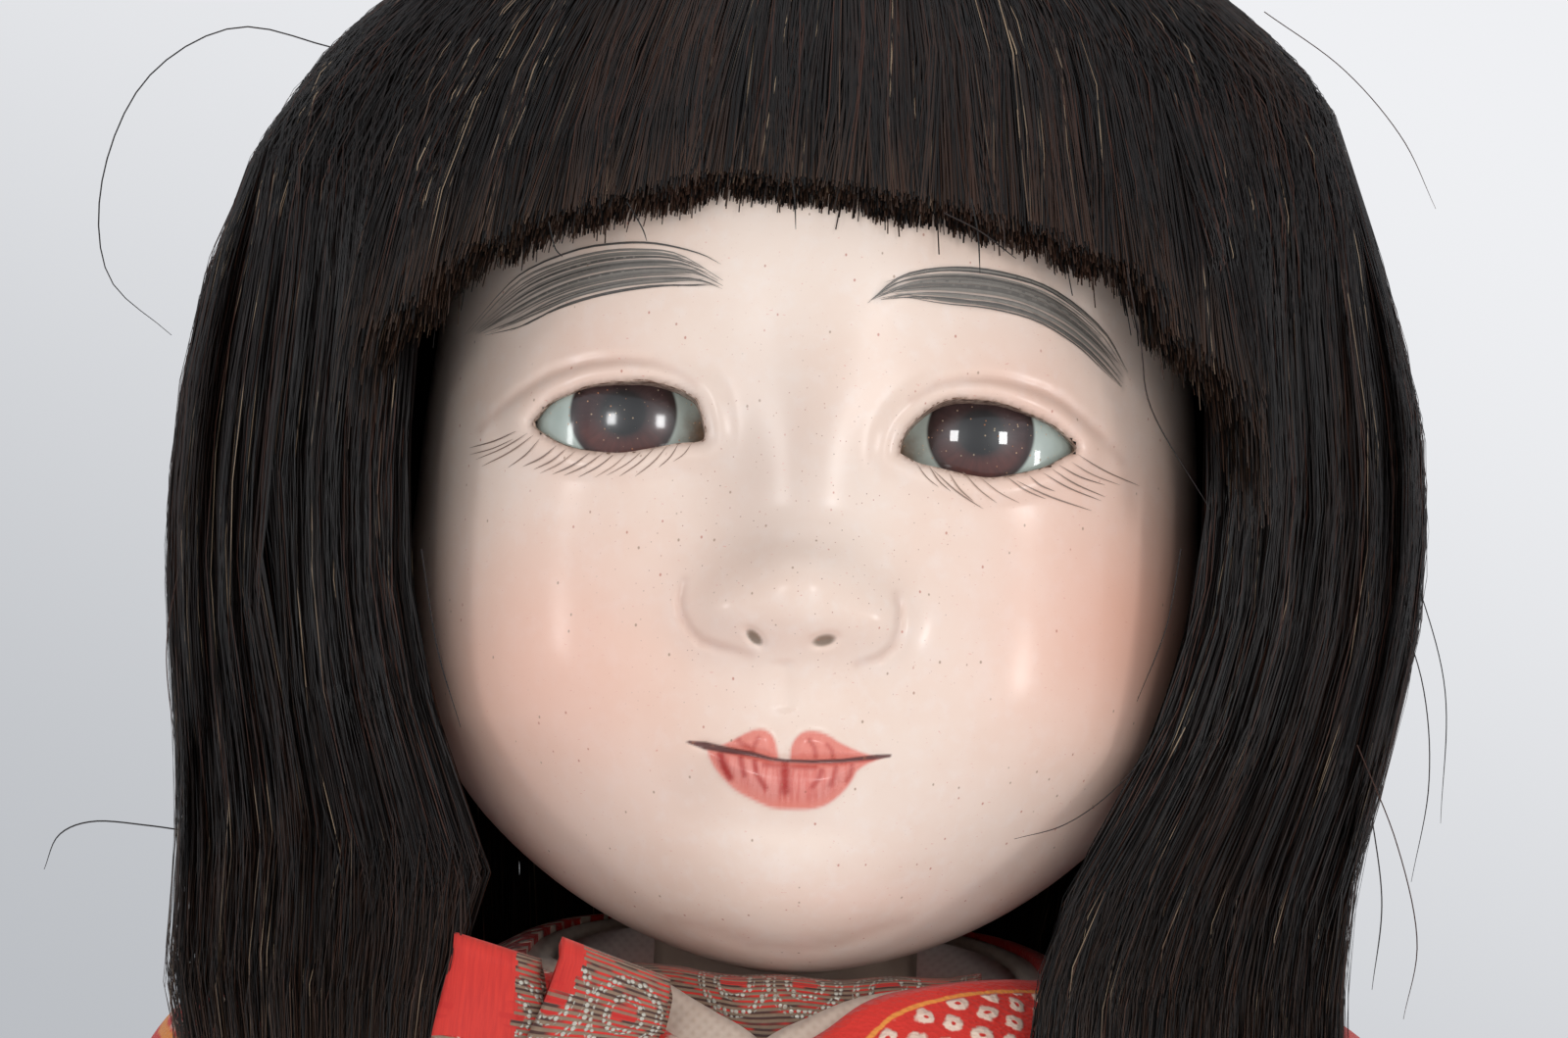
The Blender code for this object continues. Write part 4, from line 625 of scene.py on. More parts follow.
def glassEye(side, word):
    depth = glassDepth(side, word)
    gaze = onSkin([eyeLines[word]["iris"]], depth)[0]
    ring = lidRings[word]
    inner, outer = ring[np.argmin(side * ring[:, 0])], ring[np.argmax(side * ring[:, 0])]
    corners = [((p[0], depth(p[0], p[1] + chinZ), p[1] + chinZ), reach) for p, reach in ((inner, 3.0), (outer, 1.7))]
    finish = eyeFinish(word, gaze, corners)
    turns = np.linspace(0, 2 * math.pi, 97)[:-1]
    outs = np.concatenate([[0.02], np.linspace(0.15, eyeFacts["reach"], 44)])
    x = side * eyeFacts["glassAcross"] + outs[:, None] * np.cos(turns)
    z = chinZ + eyeFacts["height"] + outs[:, None] * np.sin(turns)
    points = np.stack([x, depth(x, z), z], 2)
    ball = buildMesh("glassEye" + word.title(), points, gridFaces(len(outs), len(turns), True), finish)
    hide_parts("eye_glass_" + word, "iris_" + word)
    # The lid's thickness, from the skin back to the glass.
    rows = []
    out = unit(ring - ring.mean(0))
    for grow, back in ((0.10, -0.012), (0.03, 0.0), (-0.03, 0.10), (-0.07, 0.35), (-0.08, 1.0)):
        spot = ring + out * grow
        skin = skinDepth(ring[:, 0] + out[:, 0] * 0.12, ring[:, 1] + out[:, 1] * 0.12 + chinZ)
        glass = depth(spot[:, 0], spot[:, 1] + chinZ) + 0.15
        y = skin + (glass - skin) * back if back >= 0.1 else skin + back
        rows.append(np.stack([spot[:, 0], y, spot[:, 1] + chinZ], 1))
    rim = buildMesh("lidRim" + word.title(), np.array(rows), gridFaces(len(rows), len(ring), True), lidFinish)


def lidRimFinish():
    # Dirt gathers on the lids' edges.
    f = Finish("lidRim", Roughness=0.5, Coat_Weight=0.2)
    at = f.place()
    f.relief(f.noise(at, 4.0, 3), 0.05, 0.6)
    return f.set(Base_Color=f.mix(f.step(f.noise(at, 2.2, 4), 0.35, 0.65), colour(204, 176, 158), colour(98, 66, 46)))


lidFinish = lidRimFinish()
for side, word in ((1, "left"), (-1, "right")):
    glassEye(side, word)
print("eyes done")


# Painted strokes: brows and lashes, as thin paint on the skin, each a little above the one before

paintFacts = {"lift": 0.018, "layer": 0.0022, "seed": 11, "browStrokes": 24, "normalStep": 0.15}
dice = np.random.default_rng(paintFacts["seed"])


def skinNormal(points):
    step = paintFacts["normalStep"]
    x, z = points[:, 0], points[:, 2]
    dx = (skinDepth(x + step, z) - skinDepth(x - step, z)) / (2 * step)
    dz = (skinDepth(x, z + step) - skinDepth(x, z - step)) / (2 * step)
    return unit(np.stack([dx, -np.ones_like(dx), dz], 1))


def strokes(name, lines, widths, finish, steps, sharp):
    # Ribbons of paint on the skin along lines in pixels; each is widest in its middle.
    pixels = np.concatenate([smoothLine(line, steps) for line in lines])
    points = onSkin(pixels, skinDepth)
    normal = skinNormal(points)
    rise = paintFacts["lift"] + paintFacts["layer"] * np.repeat(np.arange(len(lines)), steps)[:, None]
    points = (points + normal * rise).reshape(len(lines), steps, 3)
    normal = normal.reshape(points.shape)
    t = np.linspace(0, 1, steps)[None, :, None]
    wide = np.asarray(widths, float).reshape(len(lines), -1, 1) * (np.sin(math.pi * np.clip(t, 0.012, 0.988)) ** sharp)
    across = unit(np.cross(unit(np.gradient(points, axis=1)), normal))
    pair = np.stack([points - across * wide / 2, points + across * wide / 2], 2)
    index = np.arange(len(lines) * steps * 2).reshape(len(lines), steps, 2)
    quads = np.stack([index[:, :-1, 0], index[:, :-1, 1], index[:, 1:, 1], index[:, 1:, 0]], -1).reshape(-1, 4)
    made = buildMesh(name, pair, quads, finish, fields={"tone": np.repeat(dice.random(len(lines)), steps * 2)})


def paintFinish(name, dark, light):
    f = Finish(name, Roughness=0.42, Coat_Weight=0.25, Coat_Roughness=0.25)
    at = f.place()
    return f.set(Base_Color=f.mix(f.field("tone") * 0.7 + f.noise(at, 2.0, 3) * 0.3, dark, light))


def browStrokes():
    # Strokes that run along each brow, from its upper edge to its lower one, and one bold line on the right brow.
    lines, widths = [], []
    count = paintFacts["browStrokes"]
    for facts in browLines.values():
        top, low = smoothLine(facts["top"], 60), smoothLine(facts["low"], 60)
        for k in range(count):
            v = k / (count - 1)
            first, last = sorted(dice.uniform((0.0, 0.80), (0.14, 1.0)))
            if v < 0.08:
                first, last = 0.0, 1.0
            t = np.linspace(first, last, 7) * 59
            near = t.astype(int).clip(0, 58)
            f = (t - near)[:, None]
            upper, lower = [edge[near] * (1 - f) + edge[near + 1] * f for edge in (top, low)]
            wave = dice.normal(0, 0.9)
            lines.append(upper * (1 - v) + lower * v + np.array([0, wave * 1.3]))
            widths.append(0.07 + 0.12 * max(0.0, 1 - abs(v - 0.5) * 1.1) * dice.uniform(0.4, 1.2))
    lines.append(np.array([(476, 342), (516, 295), (545, 273), (591, 255), (628, 249), (660, 248), (688, 252),
                           (717, 260), (736, 270)], float))
    widths.append(0.14)
    strokes("browStrokes", lines, widths, paintFinish("browPaint", colour(62, 59, 57), colour(150, 143, 134)), 22, 0.75)


def lashStrokes():
    lashes = {
        "right": [((706, 452), (687, 471)), ((693, 452), (672, 477)), ((682, 454), (648, 486)), 
                  ((670, 455), (632, 486)),
                  ((658, 458), (619, 485)), ((643, 460), (607, 487)), ((631, 460), (590, 487)),
                  ((616, 462), (576, 485)),
                  ((602, 462), (564, 484)), ((588, 460), (551, 483)), ((578, 458), (545, 479)),
                  ((568, 455), (534, 476)),
                  ((551, 448), (519, 477)), ((545, 444), (492, 476)), ((539, 442), (486, 469)),
                  ((524, 448), (480, 464)),
                  ((527, 440), (480, 457))],
        "left": [((935, 473), (958, 497)), ((948, 476), (970, 501)), ((952, 480), (1003, 519)),
                 ((968, 483), (993, 511)),
                 ((982, 481), (1017, 513)), ((999, 487), (1040, 513)), ((1027, 487), (1067, 509)),
                 ((1050, 486), (1076, 501)),
                 ((1037, 491), (1113, 521)), ((1064, 483), (1123, 511)), ((1073, 479), (1127, 507)),
                 ((1080, 475), (1127, 495)), ((1093, 472), (1142, 495)), ((1099, 464), (1162, 496))],
    }
    lines = []
    for side, pairs in lashes.items():
        bend = -4 if side == "left" else 4
        for (ax, ay), (bx, by) in pairs:
            middle = ((ax + bx) / 2 + bend * 0.4, (ay + by) / 2 + 1.5)
            lines.append(np.array([(ax, ay), middle, (bx, by)], float))
    strokes("lashStrokes", lines, dice.uniform(0.06, 0.10, len(lines)),
            paintFinish("lashPaint", colour(112, 92, 82), colour(172, 146, 130)), 9, 0.6)


browStrokes()
lashStrokes()
print("painted strokes done")


# Hair

hairFacts = {"halfWidth": 38.8, "front": 31.2, "back": 36.5, "top": 76.2, "widest": 28.0, "seed": 5, "arc": 43.0,
             "plan": 0.92, "ridge": 0.35, "fringe": 6200, "fringeReach": (-44, 46), "sides": 4900, "backs": 4400}
silhouette = {
    "right": [(370, 0), (270, 130), (215, 280), (190, 400), (178, 540), (185, 700), (200, 850), (205, 960),
              (200, 1059)],
    "left": [(1290, 0), (1360, 120), (1410, 280), (1445, 430), (1448, 540), (1440, 640), (1420, 720), (1400, 800),
             (1380, 860), (1345, 940), (1338, 1059)],
}
faceEdges = {
    "right": [(432, 300), (425, 340), (413, 500), (420, 640), (445, 740), (480, 840), (500, 890), (478, 960),
              (450, 1059)],
    "left": [(1228, 365), (1236, 420), (1235, 500), (1222, 620), (1200, 700), (1165, 790), (1120, 860), (1090, 910),
             (1064, 980), (1051, 1059)],
}
fringeLine = [(405, 330), (430, 310), (480, 258), (520, 245), (560, 225), (600, 213), (660, 200), (700, 187),
              (750, 181), (800, 186), (850, 192), (960, 212), (1000, 222), (1050, 237), (1100, 258), (1140, 272),
              (1170, 300), (1195, 340), (1230, 372), (1250, 400)]
hairDice = np.random.default_rng(hairFacts["seed"])


def wigSize(z):
    level = (z - hairFacts["widest"]) / (hairFacts["top"] - hairFacts["widest"])
    low = 1 - 0.10 * np.clip(1 - z / hairFacts["widest"], 0, 2) ** 1.6
    return np.where(level > 0, np.sqrt(np.clip(1 - level ** 2, 0, 1)), low)


def wigDepth(x, worldZ):
    size = wigSize(worldZ - chinZ)
    sine = np.clip(np.abs(x) / (hairFacts["halfWidth"] * size), 0, 0.999) ** (1 / hairFacts["plan"])
    return neckY - hairFacts["front"] * size * np.sqrt(1 - sine ** 2) ** hairFacts["plan"]


def heightTable(pixels, y):
    at = onPlane(pixels, y)
    order = np.argsort(at[:, 2])
    return at[order, 2] - chinZ, at[order, 0]


outerEdges = {side: heightTable(line, neckY) for side, line in silhouette.items()}
innerEdges = {side: heightTable(line, -24.0) for side, line in faceEdges.items()}
fringeAt = onSkin(fringeLine, wigDepth)
fringeAt = fringeAt[np.argsort(fringeAt[:, 0])]
wigMiddle = np.array([0, neckY, chinZ + hairFacts["widest"]])


def widthShare(side, z):
    # How much wider the photographed outline is than the plain bob on this side, at this height.
    table = outerEdges["left" if side > 0 else "right"]
    level = np.minimum(z, table[0][-1])
    seen, plain = np.abs(np.interp(level, *table)), hairFacts["halfWidth"] * wigSize(level)
    share = np.clip(seen / np.maximum(plain, 1), 0.85, 1.12)
    return 1 + (share - 1) * (1 - ease(z, 58, 74))


def wigXY(a, z, size, inward):
    # The wig's plan at an angle from the front, moved inwards.
    half = hairFacts["halfWidth"] * size * np.where(a > 0, widthShare(1, z), widthShare(-1, z))
    deep = np.where(np.abs(a) < math.pi / 2, hairFacts["front"], hairFacts["back"]) * size
    half, deep = np.maximum(half - inward, 0.2), np.maximum(deep - inward, 0.2)
    return half * signedPower(np.sin(a), hairFacts["plan"]), neckY - deep * signedPower(np.cos(a), hairFacts["plan"])


def crownPath(ends, steps):
    # Heights from the crown down the wig's outside to each strand's end, and how far round the dome they are.
    arc, widest, dome = hairFacts["arc"], hairFacts["widest"], hairFacts["top"] - hairFacts["widest"]
    ends = ends[:, None]
    start = hairDice.uniform(0.05, 0.30, (len(ends), 1)) * arc
    level = (ends - widest) / dome
    endTurn = np.where(level > 0, np.arccos(np.clip(level, 0, 1)), math.pi / 2)
    run = start + (endTurn * arc + np.maximum(0, widest - ends) - start) * np.linspace(0, 1, steps)[None, :]
    turn = np.minimum(run / arc, endTurn)
    return widest + dome * np.cos(turn) - np.maximum(0, run - endTurn * arc), turn


def sway(angle, z, first, second=(0, 0, 0)):
    # A slow wave that gathers strands: amplitude, how often round the head and how often down.
    angle = angle[:, None]
    return first[0] * np.sin(angle * first[1] + z * first[2]) + second[0] * np.sin(angle * second[1] - z * second[2])


def wigPiece(name, paths, outward, widths, taper, tip, tones=(0.0, 1.0), blended=True, stands=()):
    # Each path is a thin roof-shaped ribbon whose ridge points outward.
    count, steps = paths.shape[:2]
    fields = {"tone": hairDice.uniform(*tones, (count, 1)), "tip": tip}
    fields = {k: np.repeat(np.broadcast_to(v, (count, steps)), 3) for k, v in fields.items()}
    t = np.linspace(0, 1, steps)[None, :, None]
    wide = hairDice.uniform(*widths, count).reshape(-1, 1, 1) * (1 - (1 - taper) * np.clip((t - 0.7) / 0.3, 0, 1))
    side = unit(np.cross(unit(np.gradient(paths, axis=1)), outward)) * wide / 2
    ring = np.stack([paths - side, paths + unit(outward) * wide * hairFacts["ridge"], paths + side], 2)
    index = np.arange(count * steps * 3).reshape(count, steps, 3)
    quads = np.stack([index[:, :-1, :-1], index[:, :-1, 1:], index[:, 1:, 1:], index[:, 1:, :-1]], -1)
    made = buildMesh(name, ring, quads.reshape(-1, 4), hairFinish, None if blended else "head", fields=fields)
    if blended:
        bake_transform(made)
    if stands:
        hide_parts(*stands)


def fringe(part):
    count, steps = hairFacts["fringe"], 9
    low, high = hairFacts["fringeReach"]
    angle = hairDice.uniform(math.radians(low), math.radians(high), count)
    layer = hairDice.random(count) ** 1.3
    edge = np.full(count, 48.0)
    for _ in range(5):
        across, _ = wigXY(angle, edge, wigSize(edge), 1.0)
        edge = np.interp(across, fringeAt[:, 0], fringeAt[:, 2]) - chinZ
    # A few strands end a little lower, and the fringe's outer strands run on down beside the face.
    jag = hairDice.normal(0, 0.20, count) - 1.6 * (hairDice.random(count) > 0.988) * hairDice.random(count)
    ends = edge + 0.05 + 0.45 * (1 - layer) ** 1.5 + jag
    ends = ends - 9 * ease(np.degrees(np.abs(angle)), high - 7, high) * hairDice.random(count)
    z, turn = crownPath(ends, steps)
    thick = (2.0 + 0.8 * np.sin(turn)) * layer[:, None]
    share = np.linspace(0, 1, steps)[None, :]
    clump = sway(angle, z, (0.016, 41, 0.11), (0.010, 97, 0.23))
    a = angle[:, None] + (hairDice.normal(0, 0.016, (count, 1)) + clump) * share
    x, y = wigXY(a, z, wigSize(z), thick)
    paths = np.stack([x, y, z - thick * np.cos(turn) + chinZ], 2)
    wigPiece("fringeHair" + part, paths, unit(paths - wigMiddle), (0.06, 0.115), 0.9, ease(share, 0.988, 1.0) * 0.7,
             blended=False, stands=("hair_fringe", "hair_crown") if part == "One" else ())


# Places where the background shows between locks: across, height above the chin, half length, half width
hairGaps = [(-33.2, 23.2, 5.5, 0.55), (-28.9, 4.3, 2.6, 1.1), (33.4, 12.0, 4.0, 0.3)]


def openGaps(paths):
    for across, height, tall, half in hairGaps:
        centre = across * (482 + paths[..., 1]) / 450
        level = chinZ + height - 0.07 * (paths[..., 1] + 32)
        away = paths[..., 0] - centre
        near = np.exp(-((paths[..., 2] - level) / tall) ** 4)
        paths[..., 0] += np.sign(away) * half * near * np.exp(-np.abs(away) / 2.4)
    return paths


def sideHair(side, word, part):
    # From the crown over the ear and down beside the face; the front strands fall over the shoulder.
    count, steps = hairFacts["sides"], 13
    front = part != "Back"
    low, high = (37, 84) if front else (76, 132)
    rank = hairDice.random(count)
    angle = np.radians(low + (high - low) * rank)
    layer = hairDice.random(count) ** 1.1
    ends = hairDice.normal(-1.5, 2.2, count)
    if front:
        lock = (rank < 0.62) | (hairDice.random(count) < (0.8 if side > 0 else 0.4))
        ends = np.where(lock, hairDice.normal(-9.0, 2.0, count), ends)
        ends = np.where(hairDice.random(count) > 0.95, hairDice.uniform(0, 26, count), ends)
        ends = np.maximum(ends, np.where(lock, -11.8, -5.0))
    ends = np.maximum(ends, -11.8 if front else -4.5)
    z, turn = crownPath(ends, steps)
    share = np.linspace(0, 1, steps)[None, :]
    clump = sway(angle, z, (0.018, 37, 0.09), (0.012, 83, 0.17))
    a = angle[:, None] + (clump + hairDice.normal(0, 0.018, (count, 1))) * share
    depth = 2.9 + 8.6 * ease(a, math.radians(42), math.radians(60)) if front else 7.0
    thick = 2.0 + (depth - 2.0) * np.sin(turn) ** 3
    deep = layer[:, None]
    x, y = wigXY(side * a, z, wigSize(z), thick * deep)
    if front:
        # Follow the edge of the face inside and the photographed outline outside.
        outer = hairFacts["halfWidth"] * wigSize(z) * widthShare(side, z)
        inner = side * np.interp(z, *innerEdges["left" if side > 0 else "right"])
        # Strands gather into locks towards their ends.
        group = np.floor(rank * 30 + layer * 2.0).astype(int)
        lean = hairDice.normal(0, 0.012, 40)[group] + ((group + 0.5) / 31 - rank) * 0.22
        place = rank[:, None] + lean[:, None] * share ** 2
        pull = ease(-z, -56, -43)
        ragged = np.abs(hairDice.normal(0, 0.22, (count, 1))) * share
        x = side * (np.abs(x) * (1 - pull) + pull * (inner + ragged + (outer - inner) * np.clip(place, 0, 1.04)))
        # Beside the cheeks the inner hair lies back against the face.
        y = y + 7.0 * ease(-z, -46, -36) * (1 - rank[:, None]) ** 1.3
        forward = ease(-z, -16, 3) * lock[:, None]
        y = y + (np.minimum(y, -31.0 + 4.0 * deep + 5.0 * np.maximum(0, rank[:, None] - 0.62)) - y) * forward
    drift = hairDice.normal(0, 0.22, (count, 1))
    ripple = 0.22 * np.sin(share * 9 + hairDice.uniform(0, 6, (count, 1)))
    wave = drift * share ** 2 + ripple
    paths = openGaps(np.stack([x + wave * share, y + wave * 0.5, z - deep * thick * np.cos(turn) * 0.6 + chinZ], 2))
    above = np.maximum(paths[..., 2] - wigMiddle[2], 0)
    outward = unit(np.stack([paths[..., 0], (paths[..., 1] - neckY) * 1.3, above], 2))
    stands = () if part == "FrontTwo" else ("hair_lock_" + word,) if front else ("hair_side_" + word,)
    wigPiece("sideHair" + part + word.title(), paths, outward, (0.06, 0.13), 0.45, share ** 14, stands=stands)


# Single hairs that stand out, in pixels, with the depth they lie at
strayHairs = [
    ([(205, 850), (150, 842), (95, 838), (60, 852), (45, 887)], -14),
    ([(1290, 12), (1370, 70), (1430, 140), (1465, 213)], -8),
    ([(345, 50), (240, 28), (150, 80), (105, 180), (110, 280), (175, 342)], -8),
    ([(1172, 768), (1130, 812), (1085, 842), (1035, 856)], -33.5),
    ([(1150, 273), (1164, 350), (1176, 420), (1235, 520)], -33),
    ([(808, 180), (811, 205), (812, 234)], -37.3), ([(991, 202), (998, 240), (1000, 279)], -36.5),
    ([(963, 217), (1000, 236), (1037, 264)], -36.6), ([(1023, 225), (1025, 242), (1024, 257)], -36.2),
    ([(1420, 600), (1452, 700), (1458, 800), (1440, 900)], -12),
    ([(1385, 760), (1425, 860), (1446, 960), (1432, 1040)], -14),
    ([(1436, 560), (1474, 700), (1470, 840)], -10), ([(1398, 820), (1410, 920), (1400, 1010)], -16),
    ([(186, 560), (170, 660), (178, 760)], -12), ([(214, 880), (196, 960), (206, 1040)], -14),
    ([(640, 206), (655, 232), (660, 246)], -36.8), ([(560, 226), (566, 252), (574, 262)], -35.6),
    ([(1205, 560), (1190, 640), (1160, 716)], -33), ([(430, 560), (446, 660), (470, 742)], -32),
]


def stray(steps=24):
    paths = np.array([onPlane(smoothLine(line, steps), y) for line, y in strayHairs])
    outward = np.broadcast_to(np.array([0.0, -1.0, 0.0]), paths.shape)
    wigPiece("strayHair", paths, outward, (0.06, 0.10), 0.4, np.zeros((1, steps)), (0.2, 0.97), blended=False)


def backHair(part, low, high):
    count, steps = hairFacts["backs"], 12
    angle = math.pi + np.radians(hairDice.uniform(low, high, count))
    angle = np.where(angle > math.pi, angle - 2 * math.pi, angle)
    layer = hairDice.random(count) ** 1.1
    z, turn = crownPath(np.maximum(hairDice.normal(-7.5, 1.1, count), -9.8), steps)
    thick = (2.0 + 3.5 * np.sin(turn) ** 3) * layer[:, None]
    share = np.linspace(0, 1, steps)[None, :]
    a = angle[:, None] + (sway(angle, z, (0.018, 43, 0.1)) + hairDice.normal(0, 0.014, (count, 1))) * share
    x, y = wigXY(a, z, wigSize(z), thick)
    paths = openGaps(np.stack([x, y, z - thick * np.cos(turn) * 0.6 + chinZ], 2))
    wigPiece("backHair" + part, paths, unit(paths - wigMiddle), (0.08, 0.15), 0.7, share ** 14,
             stands=("hair_back",) if part == "One" else ())


def hairMaterial():
    f = Finish("combedHair", Roughness=0.4, Specular_IOR_Level=0.35)
    tone, tip = f.field("tone"), f.field("tip")
    at = f.place()
    shade = f.mix(f.step(tone, 0.2, 0.85), colour(13, 10, 9), colour(30, 21, 18))
    shade = f.mix(f.step(tone, 0.88, 0.92) * 0.8, shade, colour(72, 40, 27))
    # A few strands painted pale: painted highlights that stand in for the shine on single hairs.
    shade = f.mix(f.step(tone, 0.974, 0.982) * f.step(f.noise(at, 0.12, 2), 0.38, 0.55), shade, colour(160, 138, 114))
    shade = f.mix(f.noise(f.stretch(at, (1.0, 1.0, 0.15)), 0.35, 3) * 0.35, shade, colour(8, 7, 7))
    shade = f.mix(tip * f.step(tone, 0.3, 0.7), shade, colour(66, 46, 33))
    brown = f.step(f.noise(f.stretch(at, (1.0, 1.0, 0.35)), 0.09, 3), 0.48, 0.72)
    shade = f.mix(brown * f.step(tone, 0.25, 0.6) * 0.7, shade, colour(58, 36, 25))
    return f.set(Base_Color=shade, Roughness=0.36 + tone * 0.16)


hairFinish = hairMaterial()
fringe("One")
fringe("Two")
for side, word in ((1, "left"), (-1, "right")):
    for part in ("FrontOne", "FrontTwo", "Back"):
        sideHair(side, word, part)
backHair("One", -56, 2)
backHair("Two", -2, 56)
stray()
print("hair done")


# Finishes of the cloth and of the shells kept from the solid; cloth reads its own coordinates in millimetres

crepeFacts = {"pitch": (1.9, 2.2), "turn": 0.35, "collarTurn": -0.75}
brocadeFacts = {"pitch": 0.37, "patch": 1.8, "motif": 0.16}


def crepeFinish(name, turn):
    # Tie-dyed crepe: cream rings with a red middle on a turned lattice where the zone is above 0, edged in yellow.
    f = Finish(name, Roughness=0.66, Sheen_Weight=0.12, Sheen_Roughness=0.4)
    at = f.place()
    drift = f.parts(f.noise(at, 0.5, 2, output=1))
    across, down = f.field("across") + drift[0], f.field("down") + drift[1]
    wide, tall = crepeFacts["pitch"]
    u = (across * math.cos(turn) + down * math.sin(turn)) / wide
    v = (down * math.cos(turn) - across * math.sin(turn)) / tall
    cu = (f.maths("FRACT", u + 100.0) - 0.5) * wide
    cv = (f.maths("FRACT", v + 100.0) - 0.5) * tall
    unevenness = (f.noise(at, 2.2, 2) - 0.5) * 0.55
    reach = f.maths("POWER", f.maths("ABSOLUTE", cu / 0.63) ** 2.8 + f.maths("ABSOLUTE", cv / 0.78) ** 2.8, 0.357)
    core = f.maths("SQRT", cu * cu + cv * cv)
    ring = f.step(reach + unevenness, 1.10, 0.80) * f.step(core + unevenness * 0.3, 0.12, 0.26)
    zone = f.field("zone")
    inside = f.step(zone, 0.15, 0.35)
    dot = ring * inside
    line = f.step(f.maths("ABSOLUTE", zone + (f.noise(at, 1.4, 2) - 0.5) * 0.3), 0.24, 0.10)
    red = f.mix(f.noise(at, 0.25, 4), colour(218, 38, 24), colour(186, 22, 16))
    red = f.mix(f.noise(f.stretch(at, (1, 1, 3.0)), 2.2, 3) * 0.3, red, colour(232, 66, 46))
    red = f.mix(line * 0.85, red, colour(230, 150, 60))
    cloth = f.mix(dot * (0.72 + f.noise(at, 1.8, 3) * 0.4), red, colour(232, 208, 188))
    crepe = f.cells(f.stretch(at, (1.0, 1.0, 1.6)), 2.5)
    puff = f.step(core, 0.95, 0.1) * inside
    f.relief(crepe * 0.6 + puff * 1.2 + dot * 0.3, 0.20, 0.75)
    return f.set(Base_Color=cloth)


def weaveFinish(name, light, dark, pitch=8.4):
    f = Finish(name, Roughness=0.75, Sheen_Weight=0.1)
    at = f.place()
    x, y, z = f.parts(at)
    one = f.maths("SINE", (x + z) * pitch) * 0.5 + 0.5
    two = f.maths("SINE", (x - z) * pitch + y) * 0.5 + 0.5
    f.relief(one * 0.5 + two * 0.5 + f.noise(at, 5.0, 2) * 0.3, 0.06, 0.6)
    return f.set(Base_Color=f.mix(f.noise(at, 0.3, 4) * 0.7 + one * two * 0.3, light, dark))


def brocadeFinish():
    f = Finish("ribbedBrocade", Roughness=0.5, Sheen_Weight=0.1)
    at = f.place()
    across, down = f.field("across"), f.field("down")
    turns = down / brocadeFacts["pitch"] + f.noise(f.join(across * 0.4, down * 0.4), 1.0, 2) * 0.5
    rib = f.maths("SINE", turns * 6.2832) * 0.5 + 0.5
    row = f.maths("FLOOR", turns) * brocadeFacts["pitch"]
    weft = f.step(f.noise(f.join(across * 0.35, row * 1.6), 1.0, 2), 0.46, 0.56)
    gapTone = f.mix(weft, colour(70, 38, 30), colour(206, 34, 22))
    cordTone = f.mix(f.noise(f.join(across * 2.4, row * 5), 1.0, 2), colour(120, 94, 74), colour(150, 126, 104))
    ground = f.mix(f.step(rib, 0.22, 0.55), gapTone, cordTone)
    jag = across + f.noise(f.join(across * 0.1, row * 3.0), 1.0, 1) * 3.0
    patch = f.step(f.field("zone") + (jag - across - 1.5) * 1.2, brocadeFacts["patch"], brocadeFacts["patch"] + 0.05)
    floss = f.noise(f.join(across * 4.5, down * 0.35), 1.0, 3)
    ground = f.mix(patch, ground, f.mix(floss, colour(172, 16, 14), colour(228, 54, 36)))
    # Round motifs outlined in silver stitches, some with a red heart.
    round = f.cells(f.join(across, down * 0.9, 1.0), brocadeFacts["motif"], 0.55)
    heart = f.step(round, 0.17, 0.15) * f.step(f.maths("SINE", row * 40.0) + 1.0, 0.5, 0.7)
    ground = f.mix(heart, ground, colour(196, 30, 20))
    edge = f.maths("MINIMUM", f.maths("ABSOLUTE", round - 0.36), f.maths("ABSOLUTE", round - 0.20) * 1.3)
    bead = f.cells(f.join(across, down, 0.5), 2.6, 0.5)
    thread = f.step(edge, 0.05, 0.03) * f.step(bead, 0.5, 0.3) * (1 - patch)
    ground = f.mix(thread, ground, colour(198, 194, 180))
    f.relief(rib * 0.6 * (1 - patch) + thread * 0.8 + patch * (0.5 + floss * 0.4), 0.12, 0.8)
    return f.set(Base_Color=ground, Metallic=thread * 0.5, Roughness=0.55 - thread * 0.2)


def grainFinish(name, light, dark, rough):
    f = Finish(name, Roughness=rough)
    at = f.place()
    f.relief(f.noise(at, 2.5, 4), 0.06, 0.5)
    return f.set(Base_Color=f.mix(f.noise(at, 0.5, 5), light, dark))


def cordFinish():
    f = Finish("braidedCord", Roughness=0.55, Sheen_Weight=0.2)
    at = f.place()
    x, y, z = f.parts(at)
    braid = f.maths("SINE", (x + y) * 3.6 + z * 3) * f.maths("SINE", (x + y) * 3.6 - z * 3)
    f.relief(braid, 0.15, 0.8)
    return f.set(Base_Color=f.mix(braid * 0.5 + 0.5, colour(150, 100, 36), colour(222, 178, 84)))


